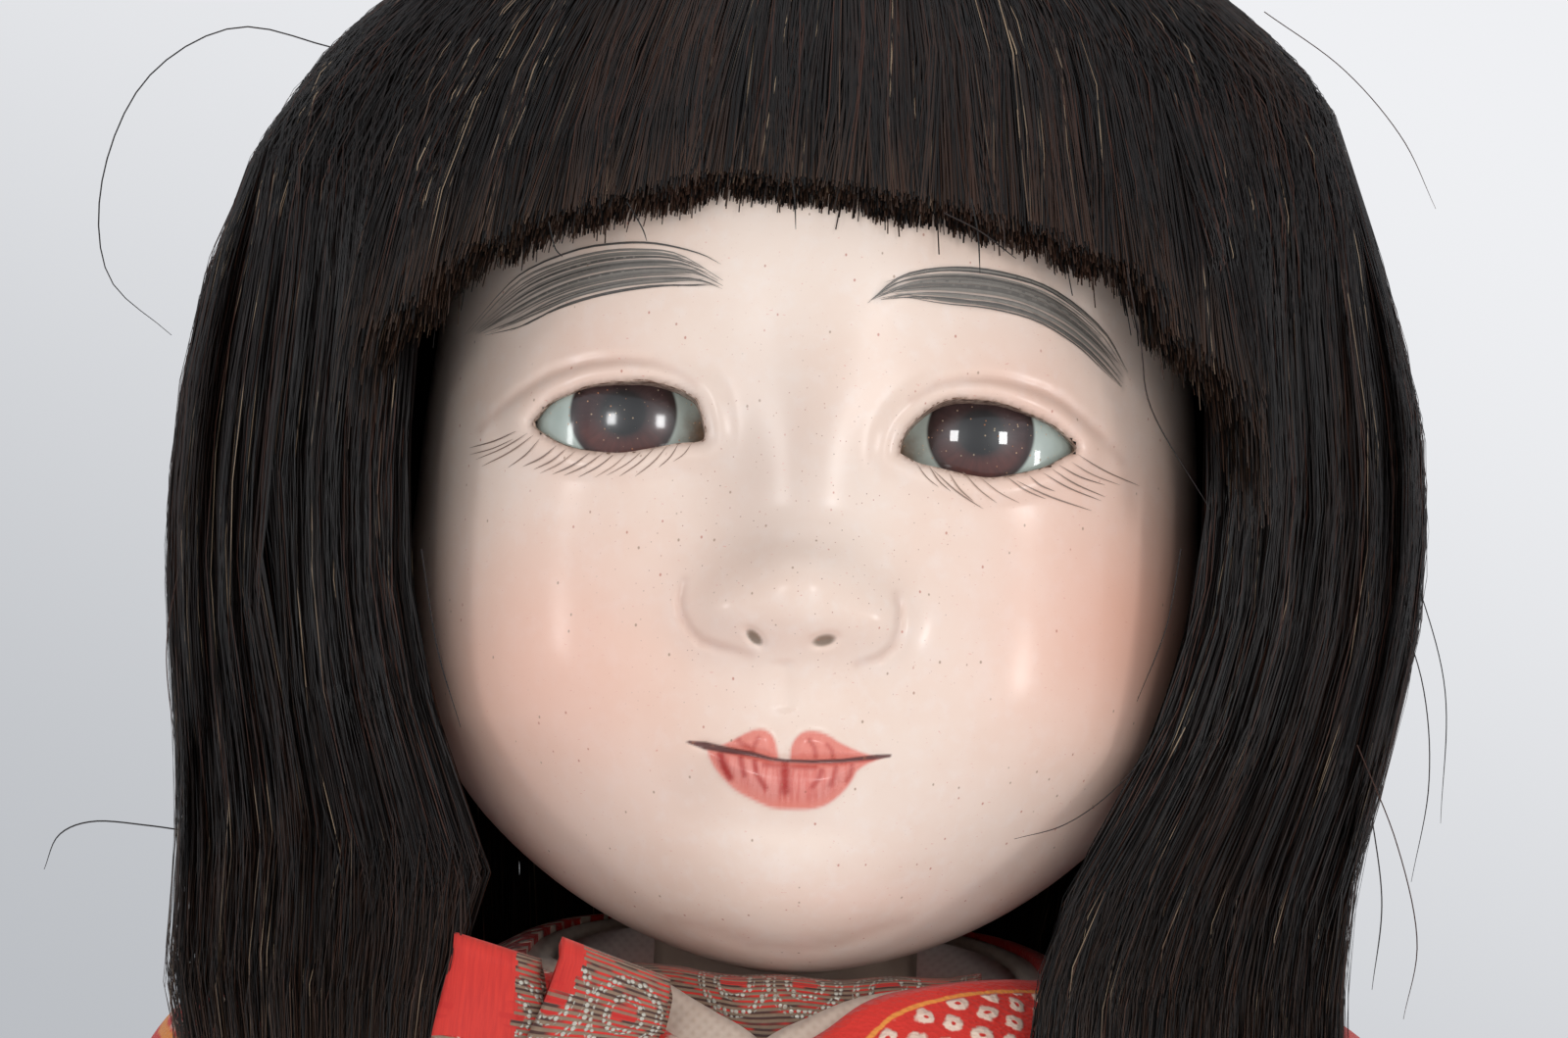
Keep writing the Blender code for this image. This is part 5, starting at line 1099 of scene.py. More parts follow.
plainSkin = skinFinish(Finish("shellWhiteLimbs", Coat_Weight=0.35, Coat_Roughness=0.22), False)
slotFinishes = {
    "shell_white": plainSkin, "red_crepe": crepeFinish("dappledCrepe", crepeFacts["turn"]),
    "brocade": brocadeFinish(), "sash_cord": cordFinish(), "hair": hairFinish,
    "white_crepe": weaveFinish("underRobeWeave", colour(206, 188, 172), colour(172, 148, 130)),
    "wig_cloth": weaveFinish("wigCapCloth", colour(44, 38, 34), colour(22, 18, 16)),
    "stuffed_cotton": weaveFinish("stuffedCotton", colour(216, 206, 186), colour(190, 176, 150)),
    "composition": grainFinish("sawdustBody", colour(190, 160, 124), colour(140, 108, 78), 0.8),
    "neck_wood": grainFinish("paintedNeck", colour(214, 190, 172), colour(190, 160, 140), 0.5),
    "paper_wad": grainFinish("paperWad", colour(206, 192, 164), colour(168, 152, 122), 0.85),
    "iris_enamel": grainFinish("irisEnamel", colour(80, 52, 50), colour(48, 28, 28), 0.2),
    "eye_glass": grainFinish("plainGlass", colour(200, 208, 200), colour(180, 190, 180), 0.1),
}
for name, node in frame["nodes"].items():
    slotName = next(s["material_slot"] for s in frame["record"]["subparts"] if s["node"] == name)
    for place in node.material_slots:
        place.material = slotFinishes[slotName]
print("finishes done")


# Cloth: grids of points that carry the cloth's own coordinates in millimetres and get a thickness

def waves(u, v, seed, count=7):
    # A smooth, repeatable unevenness between about -1 and 1.
    spin = np.random.default_rng(seed)
    total = np.zeros(np.broadcast(u, v).shape)
    for _ in range(count):
        a, b = spin.normal(0, 1, 2)
        total = total + np.sin(a * u + b * v + spin.uniform(0, 6.28))
    return total / count ** 0.5 * 0.8


def gridNormals(grid):
    return unit(np.cross(np.gradient(grid, axis=1), np.gradient(grid, axis=0)))


def clothShell(name, grid, finish, body, thick, held=None, keep=None, turned=False, zone=None):
    # The grid's front face is the outside; rows and columns run along the weave.
    rows, columns = grid.shape[:2]
    steps = np.linalg.norm(np.diff(grid, axis=1), axis=2)
    across = np.concatenate([np.zeros((rows, 1)), np.cumsum(steps, 1)], 1)
    across = across - across[:, columns // 2][:, None]
    drops = np.linalg.norm(np.diff(grid, axis=0), axis=2)
    down = np.concatenate([np.zeros((1, columns)), np.cumsum(drops, 0)], 0)
    down = np.repeat(down.mean(1)[:, None], columns, 1)
    if turned:
        across, down = down, across
    if zone is None:
        zone = 7.0 * (waves(across / 20, down / 20, len(name)) - 0.05)
    inner = grid - gridNormals(grid) * thick
    faces = gridFaces(rows, columns)
    if keep is not None:
        faces = faces[keep.ravel()[faces].all(1)]
    edges = faces[:, [0, 1, 1, 2, 2, 3, 3, 0]].reshape(-1, 2)
    _, which, times = np.unique(np.sort(edges, 1), axis=0, return_inverse=True, return_counts=True)
    rim = edges[times[which.ravel()] == 1]
    total = rows * columns
    rims = np.stack([rim[:, 1], rim[:, 0], rim[:, 0] + total, rim[:, 1] + total], 1)
    made = buildMesh(name, np.concatenate([grid.reshape(-1, 3), inner.reshape(-1, 3)]),
                     np.vstack([faces, faces[:, ::-1] + total, rims]), finish, body,
                     fields={"across": np.tile(across.ravel(), 2), "down": np.tile(down.ravel(), 2),
                             "zone": np.tile(np.broadcast_to(zone, (rows, columns)).ravel(), 2)})
    if held:
        flat = (float(np.ptp(across, 1 - int(turned)).mean()), float(np.ptp(down, int(turned)).mean()))
        print(name, "flat %.0f x %.0f mm" % flat)
    return made


def rowColumns(rows, count):
    # Smooth columns of figures, one for each place in the rows.
    table = smoothLine(rows, count)
    return [table[:, k:k + 1] for k in range(table.shape[1])]


def around(count):
    # Angles counterclockwise from the back.
    return np.linspace(math.pi / 2, math.pi * 2.5, count)[None, :]


def armHole(grid, radius):
    return (grid[..., 1] - neckY) ** 2 + (grid[..., 2] - 300) ** 2 < radius ** 2


def ringPlaces(width, front, back, power, angles):
    # The oval plan of the clothes, columns counterclockwise from the back.
    across, along = np.cos(angles), np.sin(angles)
    x = width * signedPower(across, 2 / power)
    y = np.where(along > 0, back, front) * signedPower(along, 2 / power)
    return x, y + neckY


# Robe and the white robe under it

garmentRows = [(0.0, 0.865, 0.96, 0.94, 0.0), (0.26, 0.875, 0.98, 0.94, 0.0), (0.53, 0.94, 1.0, 0.93, 0.0),
               (0.75, 1.0, 0.97, 0.86, 0.0), (0.855, 1.0, 0.90, 0.78, 0.0), (0.93, 0.94, 0.83, 0.70, 0.35),
               (0.975, 0.78, 0.76, 0.66, 0.70)]
bodiceFacts = {
    "kimono": {"halfWidth": 42.8, "halfDepth": 24.0, "top": 317.5, "neck": 15.2, "shoulders": 2.4, "chest": 1.8,
               "wrinkle": 0.55, "node": "kimono_bodice", "slot": "red_crepe", "restsOn": ["chest_shell"]},
    "underRobe": {"halfWidth": 38.5, "halfDepth": 22.0, "top": 314.2, "neck": 14.1, "shoulders": 1.6, "chest": 0.8,
                  "wrinkle": 0.25, "node": "under_robe", "slot": "white_crepe", "restsOn": ["chest_shell"]},
}


def bodice(word, finish):
    facts = bodiceFacts[word]
    bottom, tall, half, deep = 241.5, facts["top"] - 241.5, facts["halfWidth"], facts["halfDepth"]
    rows = [(bottom + tall * up, half * wide, deep * front, deep * back, 2.4, 6.5 * dip)
            for up, wide, front, back, dip in garmentRows]
    front, back = deep * 0.67, 13.8 * facts["neck"] / 15.2
    rows.append((facts["top"] - 0.33, (half * 0.55 + facts["neck"]) / 2, front * 1.06, back * 1.08, 2.2, 5.85))
    rows.append((facts["top"], facts["neck"], front, back, 2.1, 6.5))
    height, wide, fore, rear, power, dip = rowColumns(rows, 70)
    angles = around(181)
    x, y = ringPlaces(wide, fore, rear, power, angles)
    z = height - dip * np.maximum(0, -np.sin(angles)) ** 2
    z = z + facts["shoulders"] * np.exp(-((np.abs(x) - 32) / 10) ** 2) * ease(z, 302, 311)
    y = y - facts["chest"] * np.exp(-((z - 307) / 7) ** 2) * np.maximum(0, -np.sin(angles))
    grid = np.stack(np.broadcast_arrays(x, y, z), 2)
    # Soft folds: from the armholes inwards, and pulled in above the sash.
    pull = np.exp(-((np.abs(grid[..., 0]) - 34) / 9) ** 2) * np.exp(-((z - 290) / 16) ** 2)
    fold = 0.8 * pull * np.sin((z + np.abs(x) * 0.7) / 1.9) + waves(x / 8, z / 14, 3) * 0.7
    fold = fold + 0.6 * np.exp(-((z - 262) / 6) ** 2) * np.sin(x / 2.3 + waves(x / 20, z / 20, 4))
    grid = grid + gridNormals(grid) * (fold * facts["wrinkle"] * (1 - ease(z, 311, 316)))[..., None]
    keep = ~(armHole(grid, 8.6) & (np.abs(grid[..., 0]) > 28))
    made = clothShell(word + "Bodice", grid, finish, "torso", 0.8, "draped", keep)
    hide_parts(facts["node"])


# Collars: inner edges from the back of the neck to the front, on the doll's right and left

collarFacts = {"white": {"width": 10.4, "thick": 0.7}, "red": {"width": 10.6, "thick": 0.9, "over": 1.0}}
collarEdges = {
    "right": [(0, 9.8, 322.4), (-6, 8.6, 322.2), (-11.4, 4.2, 321.7), (-14.6, -2, 320.6), (-15.6, -9, 319.2),
              (-15.0, -15.5, 318.7), (-13.2, -20.0, 318.5), (-10.4, -23.6, 318.2), (-8.1, -25.6, 317.6),
              (-5.9, -27.2, 316.4),
              (-4.4, -28.2, 315.6), (-1.5, -29.4, 313.9), (3.2, -30.0, 309.5), (8.0, -31.0, 300.0),
              (13.0, -31.2, 280.0), (15.5, -30.6, 262.5)],
    "left": [(0, 9.8, 322.4), (6, 8.6, 322.2), (11.4, 4.2, 321.7), (14.6, -2, 320.6), (15.6, -9, 319.2),
             (15.0, -15.5, 318.7), (13.0, -20.2, 318.5), (9.6, -24.2, 318.0), (4.9, -27.2, 317.0), (1.6, -29.0, 315.5),
             (-1.5, -30.3, 313.7), (-5.6, -31.2, 309.6), (-9.6, -32.4, 300.0), (-13.4, -32.6, 280.0),
             (-15.2, -32.0, 262.5)],
}


def collarStrip(side, word, kind, show, finish, name):
    facts = collarFacts[kind]
    edge = smoothLine(collarEdges[word], 150)
    away = np.stack([edge[:, 0] / 225, (edge[:, 1] - neckY) / 400,
                     0.02 + 0.09 * np.clip(np.abs(edge[:, 0]) / 14, 0, 1) * ease(edge[:, 2], 312, 319)], 1)
    away = unit(away)
    along = unit(np.gradient(edge, axis=0))
    across = np.cross(away, along) * side
    lift = 0.0 if kind == "white" else facts["over"]
    start = edge + across * np.asarray(show)[:, None] + away * lift
    share = np.linspace(0, 1, 15)[:, None, None]
    crown = np.sin(math.pi * share) * 0.25 + 0.10 * waves(share * 3, np.arange(150)[None, :, None] / 14, 8)
    grid = start[None] + across[None] * share * facts["width"] + away[None] * crown
    # The collar's folded edge turns under.
    grid = grid - away[None] * 0.5 * np.exp(-(share / 0.06) ** 2)
    if side < 0:
        grid = grid[::-1]
    # The doll's left collar is plain near its edge, up to a yellow line; the right one is dotted.
    width = np.linspace(0, facts["width"], 15)[:, None][:: -1 if side < 0 else 1]
    zone = width - 2.2 - 0.4 * np.sin(np.arange(150)[None, :] / 7) + (3.0 if side < 0 else 0)
    return clothShell(name, grid, finish, "torso", facts["thick"], "folded",
                      zone=zone)


def collars(white, red):
    # The collars share their back edge; the doll's left crosses over the right.
    t = np.linspace(0, 1, 150)
    showRight = 1.2 + 1.9 * ease(t, 0.25, 0.5)
    showLeft = 1.2 - 0.35 * ease(t, 0.3, 0.5) + 0.9 * ease(t, 0.55, 0.68)
    for side, word, show in ((-1, "right", showRight), (1, "left", showLeft)):
        under = collarStrip(side, word, "white", np.zeros(150), white, "underCollar" + word.title())
        over = collarStrip(side, word, "red", show, red[side], "robeCollar" + word.title())
        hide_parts("under_collar")
        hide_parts("kimono_lapel_" + word, "kimono_neckband")


bibFacts = {"half": 12.5, "curve": 0.030, "crush": 0.22,
            "path": [(-14.5, 315.4), (-18.6, 317.2), (-22.4, 317.7), (-24.8, 316.6), (-26.6, 311.6), (-27.6, 303.0)]}


def bibCloth(finish):
    across = np.linspace(-bibFacts["half"], bibFacts["half"], 61)[None, :]
    path = smoothLine(bibFacts["path"], 60)[::-1]
    y, z = path[:, :1], path[:, 1:]
    crush = bibFacts["crush"] * (np.sin(across * 0.9 + z * 0.5) + waves(across / 4, z / 4, 9))
    y = y + bibFacts["curve"] * across ** 2 + crush
    z = z + crush * 0.5 + 0.006 * across ** 2
    grid = np.stack(np.broadcast_arrays(across, y, z), 2)
    made = clothShell("bibBrocade", grid, finish, "torso", 0.5, "folded")
    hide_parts("bib")


# The brocade tie: two upright folds over a knot

tieFacts = {
    "outer": {"left": [(463, 950), (452, 992), (440, 1045), (436, 1100), (462, 1180), (520, 1250)],
              "right": [(552, 978), (556, 1012), (558, 1060), (560, 1110), (562, 1180), (566, 1250)],
              "front": (-30.6, -33.0), "deep": 2.2, "patch": (0.68, 0.66), "node": "tie_loop_outer"},
    "inner": {"left": [(573, 955), (556, 1000), (530, 1059), (528, 1110), (552, 1180), (574, 1250)],
              "right": [(684, 997), (677, 1028), (665, 1059), (655, 1110), (638, 1180), (622, 1250)],
              "front": (-31.8, -34.0), "deep": 2.6, "patch": (0.16, 0.90), "node": "tie_loop_inner"},
}


def tieFold(word, finish):
    # From the knot up the front, over the top and down behind.
    facts = tieFacts[word]
    top, low = facts["front"]
    edges = [onPlane(smoothLine(facts[k], 60), np.linspace(top, low, 60))[::-1] for k in ("left", "right")]
    deep = facts["deep"]
    over = np.linspace(0, math.pi, 14)[1:-1]
    share = np.linspace(0, 1, 25)[None, :, None]
    front = edges[0][:, None] * (1 - share) + edges[1][:, None] * share
    bulge = 0.5 * np.sin(math.pi * np.linspace(0, 1, 60))[:, None]
    front[..., 1] -= bulge
    turned = np.repeat(front[-1:], len(over), 0)
    turned[..., 1] += (1 - np.cos(over))[:, None] * deep / 2
    turned[..., 2] += np.sin(over)[:, None] * deep / 2
    back = front[::-1].copy()
    back[..., 1] += deep + 2 * bulge[::-1]
    grid = np.concatenate([front, turned, back])
    grid[..., 2] -= deep / 2
    edgeRise = (2 * share[..., 0] - 1) ** 4
    grid[..., 1] += edgeRise * 0.45 + 0.10 * waves(share[..., 0] * 5, np.arange(len(grid))[:, None] / 12, 17)
    # The floss patch: most of the outer fold's upper left, and a small block on the inner one.
    wide, low = facts["patch"]
    height = np.clip(np.arange(len(grid))[:, None] / 59, 0, 1.2)
    zone = 2.5 + 16 * np.minimum(wide - share[..., 0], height - low)
    made = clothShell("tieFold" + word.title(), grid, finish, "torso", 0.45, "folded",
                      zone=zone)
    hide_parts(facts["node"])


def knot(name, node, centre, sizes, finish, creases, seed):
    # A drawn knot: a rounded pad with creases that run into its ends.
    up = np.linspace(-1, 1, 33)[:, None]
    turn = around(65)
    wide = sizes[0] * (1 - 0.22 * (1 - np.abs(up) ** 2)) * np.sqrt(np.maximum(1 - np.abs(up) ** 6, 0.02))
    deep = sizes[1] * np.sqrt(np.maximum(1 - np.abs(up) ** 4, 0.02))
    crease = 1 + creases * np.sin(turn * 7 + np.sin(up * 2 + seed) * 1.4) * (0.35 + 0.65 * np.abs(up))
    x = centre[0] + wide * crease * signedPower(np.cos(turn), 0.75)
    y = centre[1] + deep * crease * signedPower(np.sin(turn), 0.75)
    z = np.broadcast_to(centre[2] + sizes[2] * up, x.shape)
    grid = np.stack([x, y, z], 2)
    made = clothShell(name, grid, finish, "torso", 0.5)
    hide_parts(node)


# Skirt: one length of cloth wrapped left over right

skirtFacts = {"halfWidth": 38.3, "halfDepth": 26.0, "hem": 12.8, "top": 241.2, "edge": 238.0, "overlap": 80.0,
              "under": 1.7, "folds": 1.0, "cornerLift": 4.0}


def skirt(finish):
    rows = [(0.0, 1.0, 0.97), (0.25, 0.985, 0.95), (0.55, 0.99, 0.96), (0.82, 0.995, 0.97), (0.93, 0.975, 0.90),
            (1.0, 0.955, 0.87)]
    up, wide, deep = rowColumns(rows, 150)
    degrees = np.linspace(skirtFacts["edge"], skirtFacts["edge"] + 360 + skirtFacts["overlap"], 321)[None, :]
    angles = np.radians(degrees)
    size = skirtFacts["halfDepth"] * deep
    x, y = ringPlaces(skirtFacts["halfWidth"] * wide, size, size, 2.4, angles)
    past = ease(degrees - skirtFacts["edge"], 318, 352)
    z = skirtFacts["hem"] + (skirtFacts["top"] - skirtFacts["hem"]) * up + 0 * x
    # The wrapped edge's lower corner is drawn up a little.
    z = z + skirtFacts["cornerLift"] * np.exp(-((degrees - skirtFacts["edge"]) / 22) ** 2) * (1 - up) ** 3
    grid = np.stack([x, y, z], 2)
    low = 1 - up
    fold = 0.55 * np.sin(angles * 7 + 1.2 * np.sin(up * 2.2) + 0.6) + 0.35 * np.sin(angles * 13 + 2.0 * up)
    fold = fold * low ** 0.7
    fold = fold + 0.5 * waves(angles * 3, up * 5, 31) + 0.5 * np.exp(-((up - 0.93) / 0.05) ** 2) * np.sin(angles * 31)
    above = z - skirtFacts["hem"]  # the hem's padded roll, and the seam above it
    roll = 0.9 * np.exp(-((above - 2.2) / 1.9) ** 2) - 0.5 * np.exp(-((above - 5.4) / 1.0) ** 2)
    shift = (fold * skirtFacts["folds"] - 1.0) * (1 - 0.8 * past) + roll * 0.8 - skirtFacts["under"] * past
    grid = grid + gridNormals(grid) * shift[..., None]
    made = clothShell("robeSkirt", grid, finish, None, 0.8, "draped")
    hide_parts("kimono_skirt")
    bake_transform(made)


# Sleeves: hanging bags with an opening in front for the hand

sleeveFacts = {"inner": 43.1, "thick": 17.9, "half": 19.0, "low": 148.0, "tall": 162.2, "cuff": (53.0, 221.3),
               "cuffSize": (5.8, 18.0)}


def sleeveBag(side, word, finish):
    rows = [(0.0, 0.50, 0.02, 0.84, 0.64), (0.006, 0.50, 0.09, 0.93, 0.73), (0.03, 0.50, 0.16, 1.0, 0.80),
            (0.25, 0.50, 0.22, 1.02, 0.82), (0.42, 0.53, 0.45, 1.06, 0.76), (0.60, 0.53, 0.455, 1.0, 0.70),
            (0.80, 0.50, 0.47, 0.80, 0.68), (0.93, 0.46, 0.44, 0.64, 0.62), (0.985, 0.34, 0.34, 0.44, 0.42),
            (1.0, 0.24, 0.18, 0.22, 0.20), (1.004, 0.22, 0.03, 0.05, 0.04)]
    up, middle, thick, front, back = rowColumns(rows, 150)
    angles = around(161)
    x, y = ringPlaces(sleeveFacts["thick"] * np.maximum(thick, 0.012), sleeveFacts["half"] * front,
                      sleeveFacts["half"] * back, 3.4, angles)
    z = sleeveFacts["low"] + sleeveFacts["tall"] * up + 0 * x
    grid = np.stack([side * (sleeveFacts["inner"] + sleeveFacts["thick"] * middle) + x, y, z], 2)
    body = ease(up, 0.02, 0.2) * (1 - ease(up, 0.85, 0.97))
    fold = 0.55 * np.sin(y * 0.42 + up * 3 + side) + 0.5 * waves(y / 5, up * 7, 41 + side)
    flat = 1 - np.clip(np.abs(np.sin(angles)), 0, 1) ** 6
    grid = grid + gridNormals(grid) * ((fold - 0.45) * body * flat * 0.75)[..., None]
    # The opening for the hand, with its edge drawn onto an oval.
    cx, cz = side * sleeveFacts["cuff"][0], sleeveFacts["cuff"][1]
    half, high = sleeveFacts["cuffSize"]
    u, v = (grid[..., 0] - cx) / half, (grid[..., 2] - cz) / high
    far = np.hypot(u, v)
    ahead = grid[..., 1] < neckY - 8
    near = ahead & (np.abs(far - 1) < 0.09)
    grid[..., 0] = np.where(near, cx + u / np.maximum(far, 0.1) * half, grid[..., 0])
    grid[..., 2] = np.where(near, cz + v / np.maximum(far, 0.1) * high, grid[..., 2])
    keep = ~(ahead & (far < 0.91)) & ~(armHole(grid, 8.4) & (side * grid[..., 0] < sleeveFacts["inner"] + 3.5))
    made = clothShell("robeSleeve" + word.title(), grid, finish, "arm_" + word, 0.7, "hung",
                      keep)
    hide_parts("sleeve_" + word)


# Sash, its cord and the bow at the back

sashFacts = {"halfWidth": 40.6, "halfDepth": 26.6, "low": 223.0, "high": 260.0, "thick": 1.7,
             "cordHeight": 241.5, "cordOut": 1.15, "cordRadius": 1.22}
bowFacts = {"back": 24.4, "deep": 10.6, "far": 38.3, "near": 5.8, "high": 33.0, "middle": 245.5,
            "tail": (16.0, 52.0), "tailTop": 228.6}


def sashPlaces(grow, angles):
    deep = sashFacts["halfDepth"] + grow
    return ringPlaces(sashFacts["halfWidth"] + grow, deep, deep, 2.4, angles)


def sash(finish, cordMaterial):
    cordZ = sashFacts["cordHeight"]
    up, angles = np.linspace(0, 1, 60)[:, None], around(241)
    z = sashFacts["low"] + (sashFacts["high"] - sashFacts["low"]) * up + 0 * angles
    # Fuller in the middle, pressed in under the cord and at the top, uneven, and creased below the cord.
    grow = 0.35 * np.sin(math.pi * up) - 0.75 * np.exp(-((z - cordZ) / 2.2) ** 2)
    grow = grow - 0.8 * np.exp(-((up - 1) / 0.03) ** 2)
    grow = grow + 0.22 * waves(angles * 4, up * 4, 51) + 0.30 * np.exp(-((z - 238 - 2.5 * np.cos(angles)) / 0.8) ** 2)
    x, y = sashPlaces(grow, angles)
    made = clothShell("sashBrocade", np.stack([x, y, z], 2), finish, "torso", sashFacts["thick"],
                      "stretched")
    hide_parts("obi")
    x, y = sashPlaces(sashFacts["cordOut"], around(361)[0])
    centre = np.stack([x, y, np.full(len(x), cordZ)], 1)
    along = unit(np.gradient(centre, axis=0))
    out = np.stack([along[:, 1], -along[:, 0], along[:, 2]], 1)[:, None]
    spin = np.linspace(0, 2 * math.pi, 17)[None, :-1]
    far = np.concatenate([[0], np.cumsum(np.linalg.norm(np.diff(centre, axis=0), axis=1))])[:, None] * 1.25
    plait = sashFacts["cordRadius"] + 0.12 * np.abs(np.sin(far + spin)) * np.abs(np.sin(far - spin))
    spin = spin[..., None]
    tube = centre[:, None] + plait[..., None] * (out * np.cos(spin) + np.array([0, 0, 1.0]) * np.sin(spin))
    cord = buildMesh("sashCord", tube, gridFaces(*tube.shape[:2], True), cordMaterial, "torso")
    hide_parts("obi_cord")


def bowLoop(side, word, finish):
    # Out along the back, round the end and in again; gathered at the knot.
    facts, deep = bowFacts, bowFacts["deep"] / 2
    straight = np.linspace(facts["near"], facts["far"] - deep, 26)
    swell = deep * (0.55 + 0.45 * np.arange(26) / 25)
    turn = np.linspace(-math.pi / 2, math.pi / 2, 24)[1:-1]
    end = np.stack([facts["far"] - deep + deep * np.cos(turn), deep * np.sin(turn)], 1)
    path = np.concatenate([np.stack([straight, -swell], 1), end, np.stack([straight, swell], 1)[::-1]])
    along, back = path[:, :1], path[:, 1:]
    share = (along - facts["near"]) / (facts["far"] - facts["near"])
    v = np.linspace(-1, 1, 41)[None, :]
    height = facts["middle"] + facts["high"] / 2 * v * (0.62 + 0.38 * ease(share, 0, 0.75))
    fold = (1 - ease(share, 0.05, 0.9)) * 0.9 * np.sin(v * 9 + side) + 0.25 * waves(v * 3, share * 4, 61 + side)
    y = facts["back"] + deep + back + fold * 0.8 * np.where(np.abs(back) > 1, np.sign(back + 1e-6), 0)
    grid = np.stack([side * (along + 0 * v), y, height], 2)
    grid = grid[::-1, ::-1 if side > 0 else 1].transpose(1, 0, 2)
    made = clothShell("bowLoop" + word.title(), grid, finish, "torso", 0.9, "folded",
                      turned=True)
    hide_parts("bow_loop_" + word)


def bowTail(side, word, finish):
    wide, long = bowFacts["tail"]
    u, down = np.linspace(0, 1, 31)[None, :], np.linspace(1, 0, 60)[:, None]
    x = side * (0.6 + (wide * (0.82 + 0.24 * down)) * u + 0.4 * down)
    z = bowFacts["tailTop"] - long * down + 0 * u
    fold = 0.55 * np.sin(u * 7 + side + down * 1.5) * (1 - 0.55 * down) + 0.3 * waves(u * 3, down * 4, 71)
    grid = np.stack([x, bowFacts["back"] + 0.6 + fold, z], 2)[:, ::-1 if side > 0 else 1]
    made = clothShell("bowTail" + word.title(), grid, finish, "torso", 0.8, "hung")
    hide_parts("bow_tail_" + word)


def backBow(finish):
    for side, word in ((1, "left"), (-1, "right")):
        bowLoop(side, word, finish)
        bowTail(side, word, finish)
    centre = (0, bowFacts["back"] + 6.5, bowFacts["middle"])
    knot("bowKnot", "bow_knot", centre, (6.4, 6.4, 13.6), finish, 0.05, 1)


# Smooth copies of the solids' own hands, feet and stuffed limbs

# Node, name, body, size of the remesh's cells in millimetres, rounds of smoothing, depth of dents, slot
limbFacts = [
    (node + "_" + word, name + word.title(), body + "_" + word, *rest) for node, name, body, *rest in [
        ("forearm", "hand", "arm", 0.40, 6, 0, "shell_white"), ("lower_leg", "leg", "leg", 0.55, 6, 0, "shell_white"),
        ("upper_arm", "stuffedArm", "arm", 0.9, 8, 0.25, "stuffed_cotton"),
        ("thigh", "stuffedThigh", "leg", 1.2, 8, 0.3, "stuffed_cotton")] for word in ("left", "right")]
limbFacts += [("cloth_middle", "stuffedMiddle", "torso", 1.6, 8, 0.5, "stuffed_cotton"),
              ("neck", "turnedNeck", "head", 0.5, 5, 0, "neck_wood")]


def readVector(data, name):
    out = np.empty(len(data.vertices) * 3, np.float32)
    data.vertices.foreach_get(name, out)
    return out.reshape(-1, 3)


def limbs():
    for node, name, body, voxel, rounds, crumple, slotName in limbFacts:
        source = frame["nodes"][node]
        made = bpy.data.objects.new(name, source.data.copy())
        scene.collection.objects.link(made)
        made.matrix_world = source.matrix_world.copy()
        remesh = made.modifiers.new("remesh", "REMESH")
        remesh.mode, remesh.voxel_size = "VOXEL", voxel * mm
        soften = made.modifiers.new("soften", "SMOOTH")
        soften.factor, soften.iterations = 0.5, rounds
        bpy.context.view_layer.update()
        data = bpy.data.meshes.new_from_object(made.evaluated_get(bpy.context.evaluated_depsgraph_get()))
        made.modifiers.clear()
        made.data = data
        data.materials.clear()
        data.materials.append(slotFinishes[slotName])
        if crumple:
            places = readVector(data, "co")
            dent = waves(places[:, 0] / mm / 3, places[:, 2] / mm / 4, 81) + np.sin(places[:, 2] / mm * 0.9)
            places = places + readVector(data, "normal") * ((dent - 1) * crumple * 0.5 * mm)[:, None]
            data.vertices.foreach_set("co", places.ravel())
        data.polygons.foreach_set("use_smooth", np.full(len(data.polygons), True))
        data.update()
        if node.startswith("thigh"):
            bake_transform(made)
        else:
            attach(made, body)
        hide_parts(node)


red, white, brocade = [slotFinishes[k] for k in ("red_crepe", "white_crepe", "brocade")]
bodice("underRobe", white)
bodice("kimono", red)
collars(white, {side: crepeFinish("collarCrepe" + word, turn * crepeFacts["collarTurn"])
                for side, word, turn in ((-1, "Right", -1), (1, "Left", 1))})
bibCloth(brocade)
tieFold("outer", brocade)
tieFold("inner", brocade)
knot("tieKnot", "tie_knot", (-15.0, -32.8, 301.4), (4.4, 2.4, 3.0), brocade, 0.06, 2)
print("collars and tie done")
skirt(red)
for side, word in ((1, "left"), (-1, "right")):
    sleeveBag(side, word, red)
sash(brocade, slotFinishes["sash_cord"])
backBow(brocade)
limbs()
print("clothes done")


# Studio

sweepProfile = [(-900, 0), (300, 0), (420, 14), (500, 60), (550, 140), (570, 260), (575, 1100)]


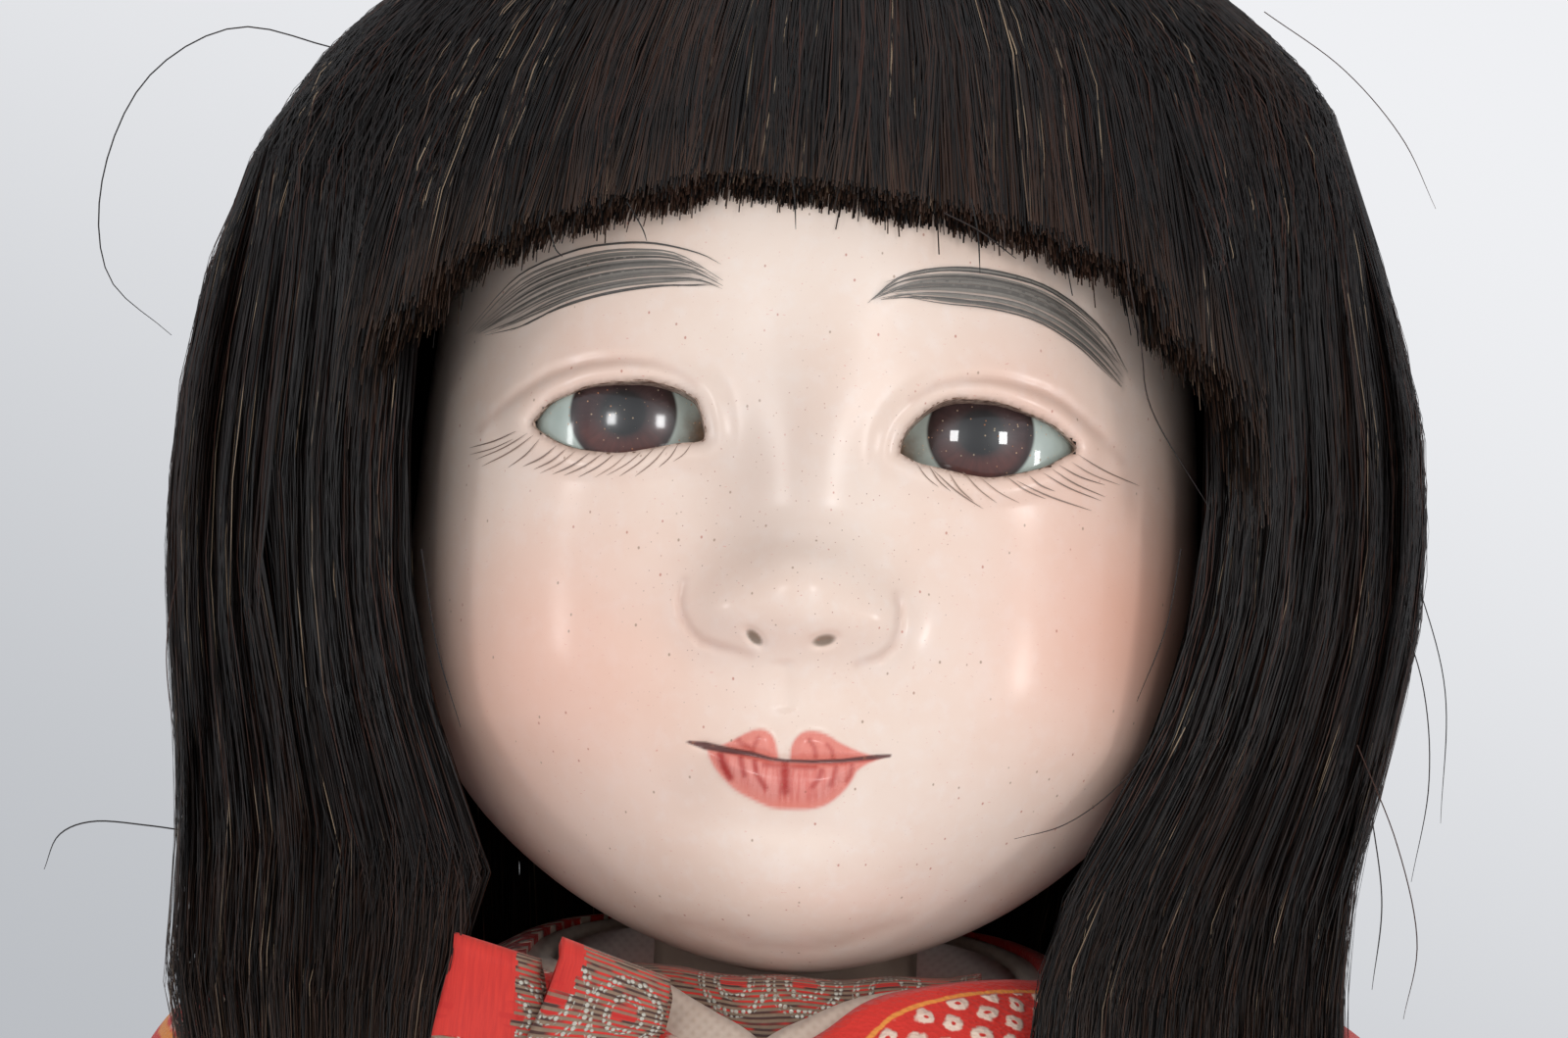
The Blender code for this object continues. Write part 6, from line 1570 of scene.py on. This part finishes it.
def studio():
    rows = [[(x, y, z) for x in np.linspace(-900, 900, 9)] for y, z in sweepProfile]
    f = Finish("studioPaper", Roughness=0.9)
    at = f.place()
    x, y, z = f.parts(at)
    # Painted light: where the camera and reflections see it, the sweep glows with this colour, a painted gradient that
    # is darker towards the bottom and the left; the floor near the doll is lit by the lamps.
    paintedBackdropGradient = f.mix(f.step(z + x * 0.41, 240, 500), colour(186, 189, 194), colour(239, 240, 243))
    glow = f.node("Emission", {}, {"Color": paintedBackdropGradient, "Strength": 1.0})
    path = {k: f.node("LightPath", {}, {}, k) for k in ("Is Camera Ray", "Is Glossy Ray", "Is Transmission Ray")}
    seen = f.maths("MINIMUM", path["Is Camera Ray"] + path["Is Glossy Ray"] + path["Is Transmission Ray"], 1.0)
    f.set(Base_Color=f.mix(f.noise(at, 0.004, 2), colour(232, 233, 235), colour(226, 227, 230)))
    lit = Value(f, f.shader.outputs[0])
    mixed = f.node("MixShader", {}, {0: seen * f.step(z, 10, 120), 1: lit, 2: glow})
    # Seen from behind, the sweep doesn't hide the doll.
    behind = f.node("NewGeometry", {}, {}, "Backfacing") * path["Is Camera Ray"]
    mixed = f.node("MixShader", {}, {0: behind, 1: mixed, 2: f.node("BsdfTransparent", {}, {})})
    f.tree.links.new(mixed.socket, f.tree.nodes["Material Output"].inputs["Surface"])
    sweep = buildMesh("studioSweep", np.array(rows), gridFaces(7, 9), f.material, None)
    world = bpy.data.worlds.new("studioAir")
    scene.world = world
    world.use_nodes = True
    air = world.node_tree.nodes["Background"].inputs
    air["Color"].default_value, air["Strength"].default_value = (0.93, 0.95, 1.0, 1), 0.60


# Azimuth and elevation in degrees, distance, width and height in millimetres, watts, and whether gloss shows it
lampFacts = {
    "keyRight": (15, 10, 700, 60, 90, 0.38, True), "keyLeft": (-15, 10, 700, 60, 80, 0.30, True),
    "sideRight": (60, -2, 700, 90, 150, 0.60, True), "sideLeft": (-68, 0, 700, 90, 150, 0.40, True),
    "frontFill": (4, -6, 900, 400, 400, 0.55, False), "cheekRight": (22, -5, 800, 240, 240, 0.60, False),
    "cheekLeft": (-22, -5, 800, 240, 240, 0.42, False), "softTop": (10, 68, 800, 500, 500, 0.4, True),
}


def lamps():
    target = Vector((0, -20, 345)) * mm
    for name, (azimuth, elevation, distance, wide, tall, watts, shine) in lampFacts.items():
        data = bpy.data.lights.new(name, "AREA")
        data.shape, data.size, data.size_y, data.energy = "RECTANGLE", wide * mm, tall * mm, watts
        made = bpy.data.objects.new(name, data)
        made.visible_glossy = shine
        up, across = math.radians(elevation), math.radians(azimuth)
        away = Vector((math.sin(across) * math.cos(up), -math.cos(across) * math.cos(up), math.sin(up)))
        made.location = target + away * distance * mm
        made.rotation_euler = away.to_track_quat("Z", "Y").to_euler()
        scene.collection.objects.link(made)


studio()
lamps()
scene.view_settings.view_transform = "Standard"
print("studio done")
